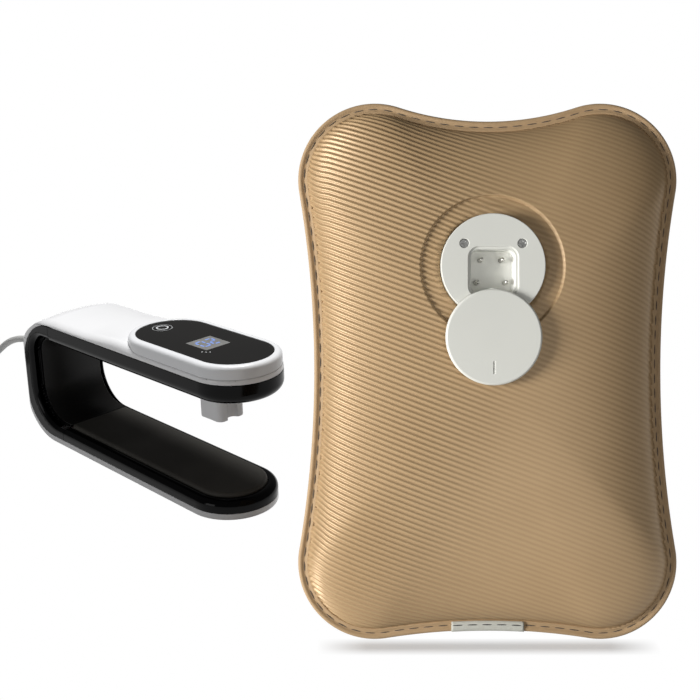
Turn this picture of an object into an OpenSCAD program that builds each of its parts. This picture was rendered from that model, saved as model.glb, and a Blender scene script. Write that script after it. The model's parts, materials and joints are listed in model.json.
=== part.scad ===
// Rechargeable warm-water bag with its C-shaped charging clamp.
// Units are millimetres and +Z is up.

/* [Bag] */
// Overall width of the bag across its side lobes
bag_width = 200; // [150:1:260]
// Overall height of the bag from lobe to lobe
bag_height = 283; // [220:1:340]
// Radius of the four round corner lobes
lobe_r = 40.5; // [25:0.5:55]
// How far the long sides draw in at the waist
waist_side = 8.5; // [2:0.5:20]
// How far the top edge dips in the middle
waist_top = 9.5; // [2:0.5:20]
// How far the bottom edge rises in the middle
waist_bottom = 4.7; // [2:0.1:20]
// Width of the flat sewn rim
rim_width = 5.8; // [3:0.1:12]
// Thickness of the flat sewn rim
rim_thickness = 3; // [1.5:0.1:5]
// Height of each pillow face above the rim's mid plane
crown = 24; // [15:0.5:32]
// Thickness of the outer cover
cover_thickness = 1.6; // [0.8:0.1:3]
// Backward lean of the bag from upright
bag_lean = 20; // [0:1:30]
// Height of the socket's centre above the bag's lowest edge
socket_y = 195.5; // [150:0.1:230]

/* [Socket] */
// Radius of the socket's round face plate
plate_r = 26.5; // [22:0.1:34]
// Radius of the swivel lid
lid_r = 24.4; // [20:0.1:32]
// Thickness of the swivel lid
lid_t = 2.8; // [1.5:0.1:5]
// Distance from the plate's centre to the lid's pivot
pivot_off = 18.1; // [14:0.1:24]
// Inner side of the square recess
recess_side = 22.4; // [18:0.1:28]
// Depth of the square recess below the plate's face
recess_depth = 13; // [8:0.5:18]
// Radius of each contact pin
contact_r = 1.15; // [0.8:0.05:2]

/* [Clamp] */
// Width of the clamp's arms
arm_w = 62; // [56:1:70]
// Reach of the lower arm in front of the spine's origin
lower_len = 222; // [208:1:230]
// Reach of the upper arm in front of the spine's origin
upper_len = 230; // [222:1:244]
// Thickness of the spine
spine_t = 17; // [16:0.5:20]
// Height of the upper arm's top surface at mid length
arm_top = 99.8; // [98:0.1:103]
// Height of the seam between the white and black covers
arm_seam = 93; // [91:0.1:94]
// Height of the upper arm's underside at mid length
arm_under = 79.4; // [74:0.1:83]
// Height of the raised panel bezel at mid length
bezel_top = 105; // [103:0.1:112]
// Upward slope of the upper arm towards its tip
arm_slope = 1.2; // [0:0.1:4]
// Side of the square charging plug block
plug_side = 21.4; // [18:0.1:24]
// Distance of the plug's centre from the spine's origin
plug_u = 184; // [178:1:190]
// Height of the plug's lower face above the table
plug_low = 57.5; // [50:0.5:72]
// Turn of the clamp away from the bag's face
clamp_turn = 43.3; // [0:0.1:90]

/* [Controls] */
// Travel of the power key
key_travel = 0.6; // [0.2:0.1:1]
// Radius of the power key
key_r = 4.55; // [3.5:0.05:5.2]
// Distance of the key from the spine's origin
key_u = 126.2; // [115:0.1:140]
// Distance of the display from the spine's origin
lcd_u = 173.9; // [160:0.1:190]
// Tilt of the pressure plate when it is pressed right down
plate_travel = 1; // [0.5:0.1:1.2]

/* [Cord] */
// Diameter of the mains cord
cord_d = 5.2; // [4:0.1:5.5]
// Height of the cord's exit above the table
cord_w = 55; // [50:1:58]
// Number of turns in each of the coil's two layers
coil_turns = 2.5; // [1.5:0.5:4]

/* [Hidden] */
$fn = 48;

// Place of the bag's foot and of the clamp's spine on the table
bag_x = 107;
bag_y = -155.4;
clamp_x = -183.1;
clamp_y = 134.8;
bag_up = 0.7;
soft_white = [0.84, 0.84, 0.81];

// ---------- bag outline ----------
A = bag_width/2;
B = bag_height/2;
function waist_r(a, b, w) = (b*b + (lobe_r-w)*(lobe_r-w) - lobe_r*lobe_r)/(2*w);
Rs = waist_r(A-lobe_r, B-lobe_r, waist_side);
Rt = waist_r(B-lobe_r, A-lobe_r, waist_top);
Rb = waist_r(B-lobe_r, A-lobe_r, waist_bottom);
ps = atan2(B-lobe_r, Rs+lobe_r-waist_side);
pt = atan2(A-lobe_r, Rt+lobe_r-waist_top);
pb = atan2(A-lobe_r, Rb+lobe_r-waist_bottom);
function arc(c, r, a0, a1, n) =
    [for (i = [0:n-1]) let (a = a0+(a1-a0)*i/n) [c[0]+r*cos(a), B+c[1]+r*sin(a)]];
// Closed outline, drawn in by the given inset, with arc steps for the lobes and waists
function outline(inset, nl, nw) = concat(
    arc([A-waist_side+Rs, 0], Rs+inset, 180, 180-ps, nw),
    arc([A-lobe_r, B-lobe_r], lobe_r-inset, -ps, 90+pt, nl),
    arc([0, B-waist_top+Rt], Rt+inset, 270+pt, 270-pt, 2*nw),
    arc([lobe_r-A, B-lobe_r], lobe_r-inset, 90-pt, 180+ps, nl),
    arc([waist_side-A-Rs, 0], Rs+inset, ps, -ps, 2*nw),
    arc([lobe_r-A, lobe_r-B], lobe_r-inset, 180-ps, 270+pb, nl),
    arc([0, waist_bottom-B-Rb], Rb+inset, 90+pb, 90-pb, 2*nw),
    arc([A-lobe_r, lobe_r-B], lobe_r-inset, 270-pb, 360+ps, nl),
    arc([A-waist_side+Rs, 0], Rs+inset, 180+ps, 180, nw));

// ---------- pillow surfaces ----------
rings = [0.22, 0.42, 0.58, 0.71, 0.82, 0.9, 0.96, 1];
function swell(s) = pow(max(0, 1-pow(s, 3)), 0.6);
function lift(p, s, h) = [p[0]*s, B+(p[1]-B)*s, h];
// One dome of points: rings from the inside out, then its middle
function dome(o, h, e, dir) = concat(
    [for (s = rings) for (p = o) lift(p, s, dir*(e+(h-e)*swell(s)))],
    [[0, B, dir*h]]);
function dome_faces(n, m, at, flip) = concat(
    [for (k = [0:m-2]) for (i = [0:n-1]) let (j = (i+1)%n)
        each turned([at+k*n+i, at+(k+1)*n+i, at+(k+1)*n+j], flip)],
    [for (k = [0:m-2]) for (i = [0:n-1]) let (j = (i+1)%n)
        each turned([at+k*n+i, at+(k+1)*n+j, at+k*n+j], flip)],
    [for (i = [0:n-1]) let (j = (i+1)%n) each turned([at+m*n, at+i, at+j], flip)]);
function turned(f, flip) = [flip ? [f[0], f[2], f[1]] : f];
function band(n, a, b) = concat(
    [for (i = [0:n-1]) let (j = (i+1)%n) [a+i, b+j, b+i]],
    [for (i = [0:n-1]) let (j = (i+1)%n) [a+i, a+j, b+j]]);

// A crowned sheet of even thickness above the mid plane
module sheet(o, h, t, e) {
    n = len(o);
    m = len(rings);
    c = n*m+1;
    polyhedron(points = concat(dome(o, h, e+t, 1), dome(o, h-t, e, 1)),
        faces = concat(dome_faces(n, m, 0, true), dome_faces(n, m, c, false),
            band(n, (m-1)*n, c+(m-1)*n)));
}

// A closed pillow, crowned on both sides of the mid plane
module pillow(o, h, e) {
    n = len(o);
    m = len(rings);
    c = n*m+1;
    polyhedron(points = concat(dome(o, h, e, 1), dome(o, h, e, -1)),
        faces = concat(dome_faces(n, m, 0, true), dome_faces(n, m, c, false),
            band(n, (m-1)*n, c+(m-1)*n)));
}

// ---------- swept tube ----------
function unit(v) = v/norm(v);
function heading(p, i) = unit(p[min(i+1, len(p)-1)]-p[max(i-1, 0)]);
function ring_at(c, t, r, n, side) =
    let (s = unit(cross(t, side)), u = cross(s, t))
    [for (k = [0:n-1]) c + r*cos(360*k/n)*s + r*sin(360*k/n)*u];
module tube(path, r, n, side = [0, 0, 1]) {
    m = len(path);
    pts = [for (i = [0:m-1]) each ring_at(path[i], heading(path, i), r, n, side)];
    polyhedron(points = pts, faces = concat(
        [[for (k = [n-1:-1:0]) k]],
        [[for (k = [0:n-1]) (m-1)*n+k]],
        [for (i = [0:m-2]) for (k = [0:n-1]) let (j = (k+1)%n) [i*n+k, i*n+j, (i+1)*n+j]],
        [for (i = [0:m-2]) for (k = [0:n-1]) let (j = (k+1)%n) [i*n+k, (i+1)*n+j, (i+1)*n+k]]));
}

// ---------- shared frames ----------
module in_bag() {
    translate([bag_x, bag_y, bag_up]) rotate([90-bag_lean, 0, 0]) children();
}
module in_clamp() {
    translate([clamp_x, clamp_y, 0]) rotate([0, 0, -clamp_turn]) children();
}
// The upper arm's own frame, tilted about its mid length
mid_u = 111;
mid_w = 95;
module in_arm() {
    in_clamp() arm_tilt() children();
}
module arm_tilt() {
    translate([mid_u, 0, mid_w]) rotate([0, -arm_slope, 0]) translate([-mid_u, 0, -mid_w]) children();
}
module at_socket(z) {
    in_bag() translate([0, socket_y, z]) children();
}

// ---------- bag levels, above the mid plane ----------
edge = rim_thickness/2;
plate_top = 25.2;
plate_low = 22.2;
lid_low = plate_top+0.4;
floor_top = plate_top-recess_depth;
recess_y = -3.05;
recess_half = recess_side/2;
cup_wall = 1.4;
house_r = 24.2;
flange_r = 31;
flange_top = 17.4;
pin_up = [[-5.4, 6.55], [5.4, 6.55]];
pin_dn = [[-7.4, -5], [7.4, -5]];
pin_xy = concat(pin_up, pin_dn);
screw_xy = [[-14.7, 11.3], [14.7, 11.3]];

module round_square(side, r, h) {
    linear_extrude(h) union() {
        square([side, side-2*r], center = true);
        square([side-2*r, side], center = true);
        for (x = [-1, 1], y = [-1, 1])
            translate([x*(side/2-r), y*(side/2-r)]) circle(r = r);
    }
}

module cover_front() {
    color([0.72, 0.58, 0.4]) in_bag() difference() {
        sheet(outline(rim_width+0.2, 7, 3), crown, cover_thickness, 0.05);
        translate([0, socket_y, 1]) cylinder(r = plate_r+0.3, h = crown+4);
    }
}
module cover_back() {
    color([0.66, 0.53, 0.37]) in_bag() mirror([0, 0, 1])
        sheet(outline(rim_width+0.2, 7, 3), crown, cover_thickness, 0.05);
}
module rim_binding() {
    color([0.74, 0.6, 0.42]) in_bag() translate([0, 0, -edge]) difference() {
        linear_extrude(rim_thickness) polygon(outline(0, 10, 4));
        translate([0, 0, -1]) linear_extrude(rim_thickness+2) polygon(outline(rim_width, 10, 4));
        translate([-tab_w/2, -5, -1]) cube([tab_w, 5+tab_reach+0.7, rim_thickness+2]);
    }
}
tab_w = 38.5;
tab_reach = 10.2;
tab_t = 0.9;
module hem_tab() {
    color([0.78, 0.78, 0.75]) in_bag() difference() {
        translate([-tab_w/2+0.15, waist_bottom-0.4, -edge-tab_t])
            cube([tab_w-0.3, tab_reach-waist_bottom+0.2, rim_thickness+2*tab_t]);
        translate([-tab_w, tab_reach-0.6, -edge-0.01]) cube([2*tab_w, 5, rim_thickness+0.02]);
    }
}
module bladder() {
    color([0.55, 0.6, 0.62]) in_bag() difference() {
        pillow(outline(rim_width+6, 5, 2), crown-4, 1.2);
        pillow(outline(rim_width+9, 5, 2), crown-5.4, 0.4);
        translate([0, socket_y, 2]) cylinder(r = flange_r+0.3, h = crown);
    }
}
module water_fill() {
    color([0.6, 0.75, 0.85]) in_bag() difference() {
        pillow(outline(rim_width+9.4, 5, 2), crown-5.7, 0.3);
        translate([0, socket_y, -9]) cylinder(r = house_r+0.3, h = crown+12);
        translate([0, socket_y, 2]) cylinder(r = flange_r+0.4, h = crown);
        translate([-leg_x-3, leg_end-0.01, -3.1]) cube([2*leg_x+6, socket_y-leg_end-20, 6.2]);
        translate([0, leg_end, -3.1]) cylinder(r = leg_x+3, h = 6.2);
        for (x = [-leg_x, leg_x]) translate([x, socket_y-17, 0]) rotate([90, 0, 0]) cylinder(r = 3.9, h = 9);
    }
}

// ---------- heater and socket ----------
leg_x = 9;
leg_end = socket_y-100;
tube_r = 2.6;
module heater_housing() {
    color([0.85, 0.85, 0.82]) at_socket(0) difference() {
        union() {
            translate([0, 0, -8]) cylinder(r = house_r, h = 29.4);
            translate([0, 0, flange_top-2]) cylinder(r = flange_r, h = 2);
        }
        difference() {
            translate([0, 0, -6]) cylinder(r = house_r-2.2, h = 30);
            for (p = screw_xy) translate([p[0], p[1], 6]) cylinder(r = 3.1, h = 16);
        }
        for (p = screw_xy) translate([p[0], p[1], 9]) cylinder(r = 1.2, h = 16);
        for (x = [-leg_x, leg_x]) translate([x, -10, 0]) rotate([90, 0, 0]) cylinder(r = 3.6, h = 20);
    }
}
module housing_gasket() {
    color([0.25, 0.25, 0.26]) at_socket(21.4) difference() {
        cylinder(r = house_r, h = 0.8);
        translate([0, 0, -1]) cylinder(r = house_r-2.2, h = 3);
    }
}
module socket_plate() {
    color(soft_white) at_socket(0) difference() {
        union() {
            translate([0, 0, plate_low]) cylinder(r = plate_r, h = plate_top-plate_low);
            difference() {
                translate([0, 0, 19.6]) cylinder(r = plate_r, h = 3);
                translate([0, 0, 19]) cylinder(r = plate_r-1.8, h = 4);
            }
        }
        translate([0, recess_y, plate_low-1]) round_square(recess_side, 4, 6);
        translate([0, recess_y, plate_top-1]) round_square(recess_side+3, 5.5, 2);
        for (p = screw_xy) translate([p[0], p[1], plate_low-1]) cylinder(r = 1.35, h = 6);
        for (p = screw_xy) translate([p[0], p[1], plate_top-1.4]) cylinder(r = 2.3, h = 2);
        translate([0, -pivot_off, plate_low-1]) cylinder(r = 1.55, h = 6);
    }
}
module socket_cup() {
    color(soft_white) at_socket(0) difference() {
        union() {
            difference() {
                translate([0, recess_y, floor_top-cup_wall])
                    round_square(recess_side+2*cup_wall, 4+cup_wall, plate_low-floor_top+cup_wall);
                translate([0, recess_y, floor_top]) round_square(recess_side, 4, 20);
            }
            intersection() {
                translate([0, recess_y-recess_half, floor_top-0.5])
                    cylinder(r = 3.2, h = plate_low-floor_top+0.5);
                translate([-5, recess_y-recess_half-0.5, 0]) cube([10, 10, 30]);
            }
        }
        for (p = pin_xy) translate([p[0], recess_y+p[1], floor_top-4]) cylinder(r = contact_r, h = 8);
    }
}
module contact_pins() {
    color([0.83, 0.78, 0.6]) at_socket(0) for (p = pin_xy) translate([p[0], recess_y+p[1], 6]) union() {
        cylinder(r = contact_r, h = floor_top+8-6);
        translate([0, 0, floor_top+8-6]) intersection() {
            sphere(r = contact_r);
            cylinder(r = 2, h = 2);
        }
    }
}
module plate_screws() {
    color([0.62, 0.62, 0.62]) at_socket(0) for (p = screw_xy) translate([p[0], p[1], 0]) difference() {
        union() {
            translate([0, 0, plate_top-1.4]) cylinder(r = 2.15, h = 1.1);
            translate([0, 0, 10]) cylinder(r = 1.2, h = plate_top-11.4);
        }
        for (a = [0, 90]) rotate([0, 0, a]) translate([-1.5, -0.3, plate_top-0.9]) cube([3, 0.6, 1]);
    }
}
module socket_lid() {
    color([0.86, 0.86, 0.83]) at_socket(0) difference() {
        union() {
            translate([0, -2*pivot_off, lid_low]) cylinder(r = lid_r, h = lid_t-0.8);
            translate([0, -2*pivot_off, lid_low+lid_t-0.8]) cylinder(r1 = lid_r, r2 = lid_r-0.8, h = 0.8);
            translate([0, -pivot_off, 20.4]) cylinder(r = 1.5, h = lid_low-20);
        }
        translate([-0.5, -2*pivot_off-lid_r+6, lid_low+lid_t-0.5]) cube([1, 6, 2]);
    }
}
module lid_clip() {
    color([0.7, 0.7, 0.7]) at_socket(20.9) translate([0, -pivot_off, 0]) difference() {
        cylinder(r = 2.3, h = 0.5);
        translate([0, 0, -1]) cylinder(r = 1.5, h = 3);
    }
}
module lid_washer() {
    color([0.75, 0.75, 0.75]) at_socket(21.6) translate([0, -pivot_off, 0]) difference() {
        cylinder(r = 2.3, h = 0.6);
        translate([0, 0, -1]) cylinder(r = 1.6, h = 3);
    }
}
module heater_tube() {
    color([0.7, 0.71, 0.72]) in_bag() union() {
        for (x = [-leg_x, leg_x]) translate([x, socket_y-15, 0]) rotate([90, 0, 0])
            cylinder(r = tube_r, h = socket_y-15-leg_end);
        translate([0, leg_end, 0]) rotate([0, 0, 180])
            rotate_extrude(angle = 180) translate([leg_x, 0]) circle(r = tube_r);
    }
}
module heater_glands() {
    color([0.9, 0.9, 0.88]) at_socket(0) for (x = [-leg_x, leg_x])
        translate([x, -18.5, 0]) rotate([90, 0, 0]) difference() {
        union() {
            cylinder(r = 3.6, h = 7);
            cylinder(r = 4.3, h = 1.2);
        }
        translate([0, 0, -1]) cylinder(r = tube_r, h = 10);
    }
}
module thermostat() {
    color([0.3, 0.3, 0.32]) at_socket(0) translate([0, 9, -6]) union() {
        cylinder(r = 8, h = 5);
        translate([0, 0, 5]) cylinder(r = 5.5, h = 2.5);
        for (x = [-3.4, 3.4]) translate([x-1, -0.4, 7.5]) cube([2, 0.8, 3]);
    }
}
module thermal_fuse() {
    color([0.8, 0.72, 0.5]) at_socket(0) translate([-5.5, -4.5, 3.5]) rotate([0, 90, 0]) union() {
        cylinder(r = 1.8, h = 11);
        translate([0, 0, -3]) cylinder(r = 0.5, h = 17);
    }
}
module wire(a, b) {
    d = b-a;
    translate(a) rotate([0, acos(d[2]/norm(d)), atan2(d[1], d[0])]) cylinder(r = 0.7, h = norm(d));
    translate(a) sphere(r = 1);
}
module link_wires() {
    color([0.7, 0.2, 0.16]) at_socket(0) union() {
        for (p = pin_dn) translate([p[0], recess_y+p[1], 3.2]) cylinder(r = 0.7, h = 2.8);
        for (p = pin_dn) wire([p[0], recess_y+p[1], 3.2], [sign(p[0])*leg_x, -15, 3.2]);
        for (p = pin_up) translate([p[0], recess_y+p[1], 4.7]) cylinder(r = 0.7, h = 1.3);
        for (p = pin_up) wire([p[0], recess_y+p[1], 4.7], [sign(p[0])*3.4, 8.8, 5.2]);
    }
}

// ---------- clamp outlines ----------
m_up = tan(arm_slope);
function at_line(w, u) = w+m_up*(u-mid_u);
half = arm_w/2;
side_wall = 2.4;
strip_t = 2.6;
foot_h = 0.8;
base_top = 5;
deck = 16.2;
shoulder = 13.8;
u_low = 40;
u_top = 32;
// Back face of the spine and the radii of its corners
back_u = -6.5;
corner_low = 34;
corner_top = 42;
corner_plan = 5;
throat_u = back_u+spine_t;
tip_c = lower_len-half;
tip_u = upper_len-half;

// Side outline with a sloped top edge and two rounded back corners
module side_form(u0, u1, w_low, w_line, r_low, r_top) {
    cu = u0+r_top;
    cw = at_line(w_line, cu)-r_top*sqrt(1+m_up*m_up);
    difference() {
        polygon([[u0, w_low], [u1, w_low], [u1, at_line(w_line, u1)], [u0, at_line(w_line, u0)]]);
        if (r_top > 0) difference() {
            translate([u0-1, cw]) square([r_top+1-m_up*r_top, r_top+5]);
            translate([cu, cw]) circle(r = r_top);
        }
        if (r_low > 0) difference() {
            translate([u0-1, w_low-1]) square([r_low+1, r_low+1]);
            translate([u0+r_low, w_low+r_low]) circle(r = r_low);
        }
    }
}
module across(w) {
    rotate([90, 0, 0]) linear_extrude(w, center = true) children();
}
module plan_form(l, inset, w0, w1) {
    translate([0, 0, w0]) linear_extrude(w1-w0) union() {
        translate([l-half, 0]) circle(r = half-inset);
        translate([back_u+corner_plan, inset-half]) square([l-half-back_u-corner_plan, arm_w-2*inset]);
        translate([back_u+inset, corner_plan-half]) square([20, arm_w-2*corner_plan]);
        for (s = [-1, 1]) translate([back_u+corner_plan, s*(half-corner_plan)]) circle(r = corner_plan-inset);
    }
}
module throat_form(u_end) {
    side_form(throat_u, u_end, deck, arm_under, 24, 12);
}
// Half section of a bar with rounded lower and upper edges
module half_bar(hw, z0, z1, rb, rt) {
    union() {
        translate([0, z0+rb]) square([hw, z1-z0-rb-rt]);
        if (rb > 0) translate([0, z0]) square([hw-rb, z1-z0-rt]);
        if (rt > 0) translate([0, z0+rb]) square([hw-rt, z1-z0-rb]);
        if (rb > 0) intersection() {
            translate([hw-rb, z0+rb]) circle(r = rb);
            translate([0, z0]) square([hw, rb+0.01]);
        }
        if (rt > 0) intersection() {
            translate([hw-rt, z1-rt]) circle(r = rt);
            translate([0, z1-rt-0.01]) square([hw, rt+0.01]);
        }
    }
}
// A bar from u0 that ends in a half turn of the same section about uc
module bar(u0, uc) {
    union() {
        translate([u0, 0, 0]) rotate([90, 0, 90]) linear_extrude(uc-u0) union() {
            children();
            mirror([1, 0]) children();
        }
        translate([uc, 0, 0]) rotate([0, 0, -90]) rotate_extrude(angle = 180) children();
    }
}
// A stadium: the same half section turned round both ends
module loop(u0, uc) {
    union() {
        translate([u0, 0, 0]) rotate([90, 0, 90]) linear_extrude(uc-u0) union() {
            children();
            mirror([1, 0]) children();
        }
        translate([uc, 0, 0]) rotate([0, 0, -90]) rotate_extrude(angle = 180) children();
        translate([u0, 0, 0]) rotate([0, 0, 90]) rotate_extrude(angle = 180) children();
    }
}
module slab(hw, z0, z1) {
    translate([0, z0]) square([hw, z1-z0]);
}

// ---------- clamp shells ----------
module outer_side() {
    side_form(back_u, upper_len+9, foot_h, arm_top, corner_low, corner_top);
}
module inner_side() {
    side_form(back_u+strip_t, upper_len+19, base_top, arm_seam, corner_low-4, corner_top-5);
}
foot_uv = [[44, -20], [44, 20], [186, -20], [186, 20]];
base_uv = [[60, -25.4], [60, 25.4], [170, -25.4], [170, 25.4]];
module base_shell() {
    color([0.92, 0.92, 0.92]) in_clamp() difference() {
        intersection() {
            across(arm_w) difference() {
                outer_side();
                inner_side();
                translate([back_u-1, 32]) square([400, 100]);
            }
            plan_form(lower_len, 0, 0, 40);
        }
        bar(44, tip_c) slab(half-side_wall, 3, 9);
        for (p = base_uv) translate([p[0], p[1], 0]) cylinder(r = 1.6, h = 9);
        for (p = base_uv) translate([p[0], p[1], 0]) cylinder(r = 3, h = 1.9);
        for (p = foot_uv) translate([p[0], p[1], 0]) cylinder(r = 6, h = 1.8);
    }
}
module spine_cover() {
    color([0.92, 0.92, 0.92]) in_clamp() difference() {
        intersection() {
            across(arm_w) difference() {
                outer_side();
                inner_side();
            }
            plan_form(upper_len, 0, 32, 75);
            translate([back_u-1, -half-1, 20]) cube([16, arm_w+2, 60]);
        }
        translate([back_u-1, 0, cord_w]) rotate([0, 90, 0]) cylinder(r = 5.6, h = 6);
    }
}
bez_r = 30.4;
bez_u0 = 108.5+bez_r;
bez_u1 = upper_len-0.6-bez_r;
bez_w = 96.4;
module top_shell() {
    color([0.95, 0.95, 0.95]) in_clamp() difference() {
        intersection() {
            arm_tilt() bar(-12, tip_u) half_bar(half, 60, arm_top, 0, 6);
            across(arm_w) difference() {
                outer_side();
                inner_side();
                translate([back_u-1, -1]) square([400, 76]);
            }
            plan_form(upper_len+2, 0, 20, 130);
        }
        arm_tilt() bar(38, tip_u) half_bar(half-side_wall, 80, arm_top-side_wall, 0, 3.6);
        arm_tilt() loop(bez_u0, bez_u1) slab(bez_r+0.1, bez_w, 120);
    }
}
module spine_case() {
    color([0.07, 0.07, 0.08]) in_clamp() difference() {
        intersection() {
            across(arm_w) difference() {
                inner_side();
                throat_form(300);
                translate([u_low, -1]) square([400, 51]);
                translate([u_top, 50]) square([400, 80]);
            }
            plan_form(upper_len, 0, 0, 120);
        }
        across(arm_w-2*side_wall) difference() {
            side_form(back_u+strip_t+side_wall, u_top+20, base_top-3, arm_seam+3, corner_low+3, corner_top+2);
            side_form(throat_u-side_wall, 300, deck-side_wall, arm_under+side_wall, 26.4, 14.4);
        }
        translate([back_u-1, 0, cord_w]) rotate([0, 90, 0]) cylinder(r = 5.6, h = 9);
    }
}
module upper_case() {
    color([0.06, 0.06, 0.07]) in_clamp() difference() {
        arm_tilt() difference() {
            bar(u_top-6, tip_u) half_bar(half, arm_under, arm_seam, 7, 0);
            difference() {
                bar(u_top-10, tip_u) half_bar(half-side_wall, arm_under+2.6, arm_seam+9, 5, 0);
                for (p = board_uv) translate([p[0], p[1], arm_under]) cylinder(r = 3, h = board_low-arm_under);
            }
            for (p = board_uv) translate([p[0], p[1], 87]) cylinder(r = 1.3, h = 20);
            translate([plug_u, 0, arm_under-3]) round_square(plug_side+0.3, 4.1, 9);
        }
        translate([0, -50, 60]) cube([u_top, 100, 60]);
    }
}
boss_top = 9.3;
module lower_case() {
    color([0.06, 0.06, 0.07]) in_clamp() difference() {
        union() {
            difference() {
                bar(u_low, tip_c) half_bar(half, base_top, shoulder, 0, 5);
                bar(u_low-5, tip_c) half_bar(half-side_wall, base_top-5, shoulder-2.2, 0, 2.6);
                bar(u_low-5, tip_c) slab(24.5, 0, 30);
            }
            for (p = base_uv) translate([p[0], p[1], 3.05]) cylinder(r = 3, h = boss_top-3.05);
            for (p = base_uv) translate([p[0]-1.5, p[1]+2*sign(p[1])-2, 5.1]) cube([3, 4, boss_top-5.1]);
            for (s = [-1, 1]) translate([43, s*23.4-5.4, 5.01]) cube([9, 10.8, 6.6]);
        }
        for (p = base_uv) translate([p[0], p[1], 2]) cylinder(r = 1.25, h = 9);
        translate([hinge_u, 0, hinge_w]) rotate([90, 0, 0]) cylinder(r = 1.5, h = 56.8, center = true);
    }
}

// ---------- control panel ----------
panel_r = 25.4;
panel_low = bezel_top-2.6;
panel_top = bezel_top-0.4;
module control_bezel() {
    color([0.88, 0.88, 0.88]) in_arm() difference() {
        loop(bez_u0, bez_u1) half_bar(bez_r, bez_w, bezel_top, 0, 3);
        loop(bez_u0, bez_u1) slab(panel_r+0.1, panel_low, 130);
        loop(bez_u0, bez_u1) slab(panel_r-2.2, 80, 130);
        loop(bez_u0, bez_u1) slab(bez_r-2.4, 80, panel_low-2);
    }
}
module display_panel() {
    color([0.1, 0.1, 0.1]) in_arm() difference() {
        loop(bez_u0, bez_u1) slab(panel_r, panel_low, panel_top);
        translate([key_u, 0, 90]) cylinder(r = 5.65, h = 20);
        translate([lcd_u-10.4, -10.15, panel_top-0.8]) cube([20.8, 20.3, 2]);
        translate([lcd_u-9, -9, 90]) cube([18, 18, 20]);
    }
}
module lcd_lens() {
    color([0.45, 0.47, 0.5]) in_arm() translate([lcd_u-10.35, -10.1, panel_top-0.75]) cube([20.7, 20.2, 0.75]);
}
module lcd_module() {
    color([0.5, 0.52, 0.56]) in_arm() union() {
        translate([lcd_u-12.5, -12, panel_low-3.4]) cube([25, 24, 3.2]);
        for (v = [-10:2.5:10])
            translate([lcd_u-12, v-0.3, board_top]) cube([0.6, 0.6, panel_low-3.4-board_top]);
    }
}
module key_ring() {
    color([0.93, 0.93, 0.93]) in_arm() translate([key_u, 0, 101.5]) difference() {
        cylinder(r = 5.6, h = panel_top+0.1-101.5);
        translate([0, 0, -1]) cylinder(r = key_r+0.1, h = 9);
    }
}
module power_key() {
    color([0.1, 0.1, 0.1]) in_arm() translate([key_u, 0, 0]) union() {
        translate([0, 0, 100.3]) cylinder(r = key_r, h = bezel_top+0.3-100.3);
        translate([0, 0, 100.3]) cylinder(r = 5.5, h = 0.8);
    }
}
board_low = 94;
board_top = 95.6;
module key_plunger() {
    color([0.85, 0.2, 0.15]) in_arm() translate([key_u, 0, board_top+3.4])
        cylinder(r = 1.7, h = 100.3-board_top-3.4);
}
module key_switch() {
    color([0.2, 0.2, 0.22]) in_arm() translate([key_u, 0, board_top]) difference() {
        translate([-3, -3, 0]) cube([6, 6, 4.5-key_travel]);
        translate([0, 0, 3-key_travel]) cylinder(r = 1.75, h = 4);
    }
}
board_uv = [[121, -15], [121, 15], [214, -9], [214, 9]];
module control_board() {
    color([0.12, 0.4, 0.24]) in_arm() difference() {
        translate([116, -19, board_low]) cube([102, 38, board_top-board_low]);
        for (p = board_uv) translate([p[0], p[1], 80]) cylinder(r = 1.3, h = 30);
    }
}
module board_screws() {
    color([0.6, 0.6, 0.6]) in_arm() for (p = board_uv) translate([p[0], p[1], 0]) union() {
        translate([0, 0, board_top]) cylinder(r = 2.2, h = 1.3);
        translate([0, 0, 88]) cylinder(r = 1.3, h = board_top-88);
    }
}
module relay() {
    color([0.15, 0.3, 0.6]) in_arm() translate([130, -7.7, board_low-10.4]) cube([19, 15.4, 10.4]);
}
module power_module() {
    color([0.75, 0.68, 0.3]) in_arm() union() {
        translate([152, -15, board_low-9]) cube([13, 16, 9]);
        translate([155, 9, board_low-8.5]) cylinder(r = 4, h = 8.5);
        for (v = [-14, 12]) translate([190, v-1.5, board_low-5.5]) cube([8, 3, 5.5]);
    }
}

// ---------- charging plug ----------
module plug_housing() {
    color([0.66, 0.66, 0.66]) in_arm() difference() {
        translate([plug_u, 0, 0]) union() {
            translate([0, 0, plug_low]) round_square(plug_side, 4, arm_under+4.6-plug_low);
            translate([0, 0, arm_under+2.6]) round_square(plug_side+5, 5, 2);
        }
        translate([plug_u+plug_side/2+0.6, 0, plug_low-1]) cylinder(r = 4.2, h = arm_under-plug_low);
        for (p = pin_xy) translate([plug_u-p[1], p[0], plug_low-1]) cylinder(r = 1.9, h = 60);
    }
}
module contact_sleeves() {
    color([0.8, 0.75, 0.55]) in_arm() for (p = pin_xy)
        translate([plug_u-p[1], p[0], plug_low+1.2]) difference() {
        cylinder(r = 1.9, h = 24);
        translate([0, 0, -1]) cylinder(r = contact_r+0.05, h = 14);
    }
}

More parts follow.
